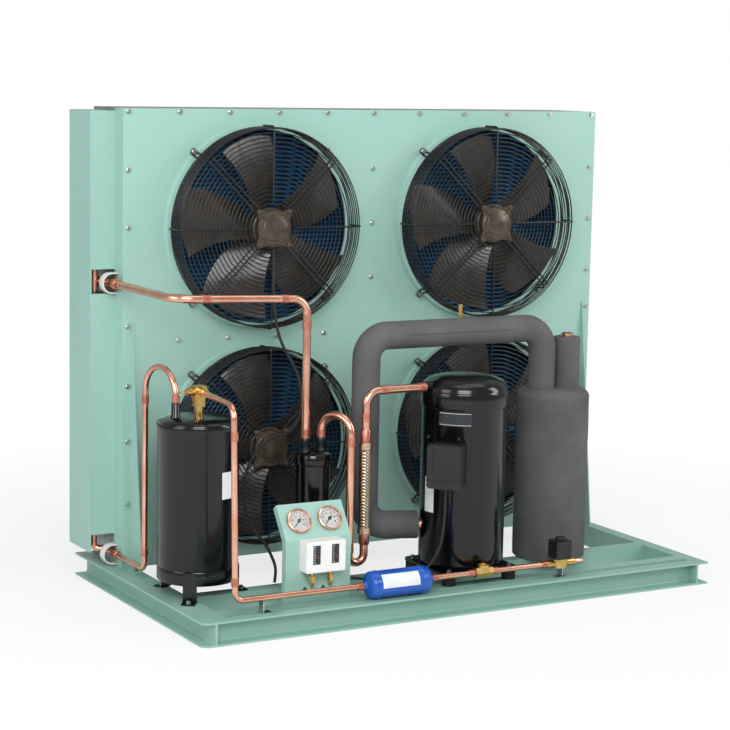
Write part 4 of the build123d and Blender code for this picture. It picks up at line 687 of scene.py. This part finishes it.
liquidPath = route([(-659 * mm, -177.3 * mm, 597 * mm), (-679 * mm, pipes["liquidY"], 597 * mm),
                    (-670 * mm, pipes["liquidY"], pipes["liquidZ"]),
                    (-302 * mm, pipes["liquidY"], pipes["liquidZ"])],
                   [36 * mm, 24 * mm])
onLine = lambda x: (x * mm, pipes["liquidY"], pipes["liquidZ"])
openEnd = [(8 * mm, 359 * mm), (8 * mm, 388.4 * mm), (7.6 * mm, 389 * mm), (7 * mm, 388.6 * mm),
           (7 * mm, 365 * mm), (0, 365 * mm)]
piece("liquidPipe", [
    pipe(liquidPath, pipes["liquid"], 24),
    pipe([onLine(-95), onLine(40)], pipes["liquid"], 24),
    pipe([onLine(92), onLine(269)], pipes["liquid"], 24),
    turned(openEnd, (0, pipes["liquidY"], pipes["liquidZ"]), (1, 0, 0), 24),
], copper, ("liquid_line",))
piece("liquidSleeves", [
    collar((-676.5 * mm, pipes["liquidY"], 520 * mm), (-9, 0, 496), 9.8 * mm, 22 * mm),
    collar((-671 * mm, pipes["liquidY"], 150 * mm), (-9, 0, 496), 9.8 * mm, 22 * mm),
    collar(onLine(-312), (1, 0, 0), 10.4 * mm, 18 * mm),
    collar(onLine(-86), (1, 0, 0), 10.4 * mm, 18 * mm),
    collar(onLine(30), (1, 0, 0), 10 * mm, 20 * mm),
    collar(onLine(102), (1, 0, 0), 10 * mm, 20 * mm),
    collar(onLine(262), (1, 0, 0), 10.4 * mm, 16 * mm),
], brazedCopper)
print("pipes made")


drier = {"left": -302 * mm, "right": -95 * mm, "radius": 37.4 * mm, "stub": 12 * mm, "bead": 1.5 * mm}


def drierParts():
    # Spun shell (r, h): a stub, a short shoulder, a crimped bead near each end,
    # and the straight shell between.
    a, b, R, s = drier["left"], drier["right"], drier["radius"], drier["stub"]
    shell = R - drier["bead"]
    ends = [(0, 0), (s - 1 * mm, 0), (s, 1 * mm), (s, 11 * mm), (R - 10 * mm, 14 * mm),
            (R - 5 * mm, 16.5 * mm),
            (shell, 21 * mm), (shell, 33 * mm), (R - 0.4 * mm, 34.6 * mm), (R, 36 * mm), (R, 38.4 * mm),
            (R - 0.4 * mm, 39.8 * mm), (shell, 41.4 * mm)]
    left = [(r, a + h) for r, h in ends]
    right = [(r, b - h) for r, h in ends[::-1]]
    return [turned(left + right, (0, pipes["liquidY"], pipes["liquidZ"]), (1, 0, 0), 72)]


piece("drierShell", drierParts(), blueDrier, ("filter_drier",), crisp=50)


def wrapLabel(centre, axis, radius, low, high, start, end, thickness=0.25 * mm, steps=24):
    # A sheet that lies on a cylinder: angle across it, height along it, at two radii.
    u, v, w = axisBasis(axis)
    a = np.linspace(math.radians(start), math.radians(end), steps)
    out = []
    for r in (radius + thickness, radius - thickness):
        ring = r * (np.cos(a)[:, None] * u + np.sin(a)[:, None] * v)
        out += [np.array(centre) + ring + low * w, np.array(centre) + ring + high * w]
    points = np.concatenate(out)
    n = steps
    k = np.arange(n - 1)
    outer = np.stack([k, k + 1, n + k + 1, n + k], -1)
    inner = np.stack([2 * n + k, 3 * n + k, 3 * n + k + 1, 2 * n + k + 1], -1)
    rimLow = np.stack([k, 2 * n + k, 2 * n + k + 1, k + 1], -1)
    rimHigh = np.stack([n + k, n + k + 1, 3 * n + k + 1, 3 * n + k], -1)
    ends = [[0, n, 3 * n, 2 * n], [n - 1, 3 * n - 1, 4 * n - 1, 2 * n - 1]]
    return points, np.concatenate([outer, inner, rimLow, rimHigh]).tolist() + ends


def facing(axis, target):
    # Degrees round an axis, in its own basis, at which a direction points.
    u, v, _ = axisBasis(axis)
    return math.degrees(math.atan2(np.dot(target, v), np.dot(target, u)))


piece("drierLabel",
      [wrapLabel((0, pipes["liquidY"], pipes["liquidZ"]), (1, 0, 0), drier["radius"] - drier["bead"],
                 -262 * mm, -150 * mm, facing((1, 0, 0), (0, -1, 0.25)) - 42,
                 facing((1, 0, 0), (0, -1, 0.25)) + 20)],
      paper)
front = facing((0, 0, 1), (-0.49, -0.87, 0))
piece("vesselLabels", [
    wrapLabel((receiver["x"], receiver["y"], 0), (0, 0, 1), receiver["radius"], 330 * mm, 400 * mm,
              front + 40, front + 72),
    wrapLabel((compressor["x"], compressor["y"], 0), (0, 0, 1), compressor["radius"], 250 * mm, 345 * mm,
              front - 62, front - 44),
], paper)


def panelMarks():
    # Ticks round each dial, long every fifth, between the pointer's ends.
    parts = []
    for k in range(51):
        t = math.radians(225 - 270 * k / 50)
        inner, width = (20 if k % 5 == 0 else 22.4), (0.9 if k % 5 == 0 else 0.45)
        u, v = np.array([math.cos(t), math.sin(t)]), np.array([-math.sin(t), math.cos(t)])
        parts.append(np.array([u * inner - v * width / 2, u * 25 - v * width / 2, u * 25 + v * width / 2,
                               u * inner + v * width / 2]) * mm)
    return parts


gauge = {"x": (-453 * mm, -363 * mm), "y": -308.25 * mm, "z": 269.5 * mm, "radius": 34 * mm}
slopeUp = np.array([0, 58.5, 83.0]) / math.hypot(58.5, 83.0)
slopeOut = np.array([0, -83.0, 58.5]) / math.hypot(58.5, 83.0)
slopeAcross = np.array([1.0, 0, 0])


def onDial(x, flat, lift):
    # Flat (x, y) on a gauge's face, lifted off the slope, to the frame.
    flat = np.asarray(flat, float)
    return np.array([x, gauge["y"], gauge["z"]]) + flat[:, :1] * slopeAcross + flat[:,
            1:] * slopeUp + lift * slopeOut


casesParts, dialParts, markParts, redParts = [], [], [], []
for x in gauge["x"]:
    at = (x, gauge["y"], gauge["z"])
    casesParts.append(turned([(0, -26 * mm), (28 * mm, -26 * mm), (30 * mm, -24 * mm), (30 * mm, 0.1 * mm),
                              (33 * mm, 0.1 * mm),
                              (34 * mm, 1.2 * mm), (34 * mm, 7.4 * mm), (33 * mm, 9.4 * mm),
                              (31.6 * mm, 10.1 * mm),
                              (30 * mm, 9.6 * mm), (29.6 * mm, 7.6 * mm), (29.6 * mm, 3.1 * mm),
                              (0, 3.1 * mm)], at, slopeOut, 72))
    dialParts.append(turned([(0, 3.1 * mm), (29.4 * mm, 3.1 * mm), (29.4 * mm, 3.4 * mm), (0, 3.4 * mm)],
                            at, slopeOut, 48))
    for quad in panelMarks():
        markParts.append((onDial(x, quad, 3.55 * mm), [[0, 1, 2, 3]]))
    for a0, a1 in ((150, 170), (-45, -20)):
        t = np.radians(np.linspace(a0, a1, 8))
        arc = np.concatenate([18.5 * mm * np.stack([np.cos(t), np.sin(t)], -1),
                              17 * mm * np.stack([np.cos(t[::-1]), np.sin(t[::-1])], -1)])
        redParts.append((onDial(x, arc, 3.6 * mm), [list(range(16))]))
piece("gaugeCases", casesParts, copper, ("gauge_cases",), crisp=30)
piece("gaugeDials", dialParts, dialFace)
piece("gaugeMarks", markParts, ink)
piece("gaugeArcs", redParts, redPaint)


def lettering(name, words, size, place, material):
    # Plain figures as a thin mesh, placed by a 4x4 matrix.
    curve = bpy.data.curves.new(name, "FONT")
    curve.body = words
    curve.size = size
    curve.align_x = "CENTER"
    curve.align_y = "CENTER"
    curve.extrude = 0.00008
    temp = bpy.data.objects.new(name + "Curve", curve)
    bpy.context.scene.collection.objects.link(temp)
    mesh = bpy.data.meshes.new_from_object(temp)
    bpy.data.objects.remove(temp)
    mesh.transform(place)
    mesh.materials.clear()
    mesh.materials.append(material)
    return mesh


dialNumbers = []
for x in gauge["x"]:
    for k, words in enumerate(("0", "5", "10", "15", "20", "25")):
        t = math.radians(225 - 270 * k / 5)
        p = onDial(x, [(14.6 * mm * math.cos(t), 14.6 * mm * math.sin(t))], 3.6 * mm)[0]
        m = Matrix((
            (slopeAcross[0], slopeUp[0], slopeOut[0], p[0]),
                    (slopeAcross[1], slopeUp[1], slopeOut[1], p[1]),
            (slopeAcross[2], slopeUp[2], slopeOut[2], p[2]), (0, 0, 0, 1)))
        dialNumbers.append(lettering("n", words, 6.2 * mm, m, ink))
numbers = bmesh.new()
for mesh in dialNumbers:
    numbers.from_mesh(mesh)
numberMesh = bpy.data.meshes.new("gaugeNumbers")
numbers.to_mesh(numberMesh)
numbers.free()
numberMesh.materials.append(ink)
numberPiece = bpy.data.objects.new("gaugeNumbers", numberMesh)
bpy.context.scene.collection.objects.link(numberPiece)
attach(numberPiece, unit)

control = {"left": -463 * mm, "width": 115 * mm, "front": -375.6 * mm, "low": 146 * mm}
cx = control["left"] + control["width"] / 2
windows, scaleMarks, redMarks = [], [], []
for dx in (-27 * mm, 27 * mm):
    x = cx + dx
    windows.append(block((x - 10.8 * mm, control["front"] + 1.0 * mm, 168 * mm),
                         (x + 10.8 * mm, control["front"] + 1.6 * mm, 217.8 * mm)))
    for k in range(11):
        z = 172 * mm + k * 4.2 * mm
        scaleMarks.append(block((x - 8 * mm, control["front"] + 0.7 * mm, z - 0.4 * mm),
                                (x - (2 if k % 5 == 0 else 4) * mm, control["front"] + 1.05 * mm,
                                 z + 0.4 * mm)))
    redMarks.append(block((x + 1 * mm, control["front"] + 0.6 * mm, 186 * mm),
                          (x + 7 * mm, control["front"] + 1.05 * mm, 188 * mm)))
piece("controlWindows", windows, darkScale)
piece("controlScales", scaleMarks, paper)
piece("controlMarks", redMarks, redPaint)
print("controls made")


boxOut = np.array([-math.sin(math.radians(49)), -math.cos(math.radians(49)), 0])
boxAcross = np.array([math.cos(math.radians(49)), -math.sin(math.radians(49)), 0])
lid = {"reach": 182 * mm, "z": 413 * mm}
lidAt = np.array([compressor["x"], compressor["y"], lid["z"]]) + boxOut * lid["reach"]
trimLines = []
for a, b in (((-44, 40), (44, 40)), ((-44, -58), (44, -58))):
    trimLines.append(pipe([lidAt + boxAcross * a[0] * mm + np.array([0, 0, a[1] * mm]),
                           lidAt + boxAcross * b[0] * mm + np.array([0, 0, b[1] * mm])], 0.8 * mm, 6))
for sx, sz in ((-42, 58), (42, 58), (-42, -58), (42, -58)):
    screw = turned([(0, -0.4 * mm), (4 * mm, -0.4 * mm), (4 * mm, 1.4 * mm), (3 * mm, 2.2 * mm),
                    (0, 2.2 * mm)],
                   lidAt + boxAcross * sx * mm + np.array([0, 0, sz * mm]), boxOut, 20)
    trimLines.append(screw)
piece("terminalTrim", trimLines, blackPlastic)

namePlate = wrapLabel((compressor["x"], compressor["y"], 0), (0, 0, 1), compressor["radius"], 491 * mm,
                      529 * mm, front - 38, front + 8)
plateLine = wrapLabel((compressor["x"], compressor["y"], 0), (0, 0, 1), compressor["radius"] + 0.2 * mm,
                      494 * mm, 495 * mm, front - 36.5, front + 6.5)
plateTop = wrapLabel((compressor["x"], compressor["y"], 0), (0, 0, 1), compressor["radius"] + 0.2 * mm,
                     525 * mm, 526 * mm, front - 36.5, front + 6.5)
piece("compressorPlate", [namePlate], darkScale)
piece("compressorPlateFrame", [plateLine, plateTop], paper)
print("fittings made")


def floorAndWorld():
    # A broad floor and a world that look white to the camera, and light the part softly.
    mesh = bpy.data.meshes.new("floor")
    size = 40.0
    mesh.from_pydata([(-size, -size, 0), (size, -size, 0), (size, size, 0), (-size, size, 0)], [],
                     [(0, 1, 2, 3)])
    floor = bpy.data.objects.new("floor", mesh)
    bpy.context.scene.collection.objects.link(floor)
    m = bpy.data.materials.new("floorWhite")
    m.use_nodes = True
    t = m.node_tree
    bsdf = t.nodes["Principled BSDF"]
    bsdf.inputs["Base Color"].default_value = (0.86, 0.86, 0.86, 1)
    bsdf.inputs["Roughness"].default_value = 0.9
    glow = t.nodes.new("ShaderNodeEmission")
    glow.inputs["Color"].default_value = (1, 1, 1, 1)
    path = t.nodes.new("ShaderNodeLightPath")
    share = t.nodes.new("ShaderNodeMath")
    share.operation = "MULTIPLY"
    where = t.nodes.new("ShaderNodeNewGeometry")
    away = t.nodes.new("ShaderNodeVectorMath")
    away.operation = "LENGTH"
    t.links.new(where.outputs["Position"], away.inputs[0])
    fade = t.nodes.new("ShaderNodeMapRange")
    fade.inputs["From Min"].default_value = 0.9
    fade.inputs["From Max"].default_value = 2.4
    fade.inputs["To Min"].default_value = 0.76
    fade.inputs["To Max"].default_value = 1.0
    t.links.new(away.outputs["Value"], fade.inputs["Value"])
    t.links.new(fade.outputs["Result"], share.inputs[1])
    t.links.new(path.outputs["Is Camera Ray"], share.inputs[0])
    mix = t.nodes.new("ShaderNodeMixShader")
    t.links.new(share.outputs[0], mix.inputs["Fac"])
    t.links.new(bsdf.outputs["BSDF"], mix.inputs[1])
    t.links.new(glow.outputs["Emission"], mix.inputs[2])
    t.links.new(mix.outputs["Shader"], t.nodes["Material Output"].inputs["Surface"])
    mesh.materials.append(m)
    world = bpy.data.worlds.new("studio")
    bpy.context.scene.world = world
    world.use_nodes = True
    w = world.node_tree
    soft = w.nodes["Background"]
    soft.inputs["Color"].default_value = (0.93, 0.96, 1.0, 1)
    soft.inputs["Strength"].default_value = 0.46
    white = w.nodes.new("ShaderNodeBackground")
    white.inputs["Color"].default_value = (1, 1, 1, 1)
    white.inputs["Strength"].default_value = 1.0
    seen = w.nodes.new("ShaderNodeLightPath")
    blend = w.nodes.new("ShaderNodeMixShader")
    w.links.new(seen.outputs["Is Camera Ray"], blend.inputs["Fac"])
    w.links.new(soft.outputs["Background"], blend.inputs[1])
    w.links.new(white.outputs["Background"], blend.inputs[2])
    w.links.new(blend.outputs["Shader"], w.nodes["World Output"].inputs["Surface"])


def softLamp(name, at, target, size, power, colour=(1, 1, 1)):
    data = bpy.data.lights.new(name, "AREA")
    data.shape = "RECTANGLE"
    data.size, data.size_y = size
    data.energy = power
    data.color = colour
    lamp = bpy.data.objects.new(name, data)
    bpy.context.scene.collection.objects.link(lamp)
    lamp.location = at
    lamp.rotation_euler = (Vector(target) - Vector(at)).to_track_quat("-Z", "Y").to_euler()


floorAndWorld()
softLamp("keySoftbox", (-2.0, -3.4, 2.4), (0.0, 0.0, 0.6), (2.2, 1.8), 105)
softLamp("leftSoftbox", (-3.4, -0.6, 1.6), (-0.4, 0.0, 0.5), (1.4, 1.8), 26)
softLamp("rightSoftbox", (3.2, -2.2, 2.2), (0.1, 0.0, 0.6), (1.2, 2.4), 52)
softLamp("topSoftbox", (0.2, -0.6, 3.6), (0.1, 0.0, 0.4), (3.0, 1.6), 18)

view = {"at": (-2.9205, -5.0006, 1.4369), "yaw": 29.51, "pitch": -8.12, "roll": 1.14, "lens": 103.5}
yaw, pitch, roll = (math.radians(view[k]) for k in ("yaw", "pitch", "roll"))
forward = Vector((math.sin(yaw) * math.cos(pitch), math.cos(yaw) * math.cos(pitch), math.sin(pitch)))
right = Vector((math.cos(yaw), -math.sin(yaw), 0))
up = right.cross(forward)
camX = math.cos(roll) * right + math.sin(roll) * up
camY = -math.sin(roll) * right + math.cos(roll) * up
cameraData = bpy.data.cameras.new("productCamera")
cameraData.lens = view["lens"]
cameraData.sensor_width = 36
camera = bpy.data.objects.new("productCamera", cameraData)
bpy.context.scene.collection.objects.link(camera)
camera.matrix_world = Matrix((
    (camX.x, camY.x, -forward.x, view["at"][0]), (camX.y, camY.y, -forward.y, view["at"][1]),
    (camX.z, camY.z, -forward.z, view["at"][2]), (0, 0, 0, 1)))
bpy.context.scene.camera = camera
bpy.context.scene.view_settings.view_transform = "Standard"
print("stage set")
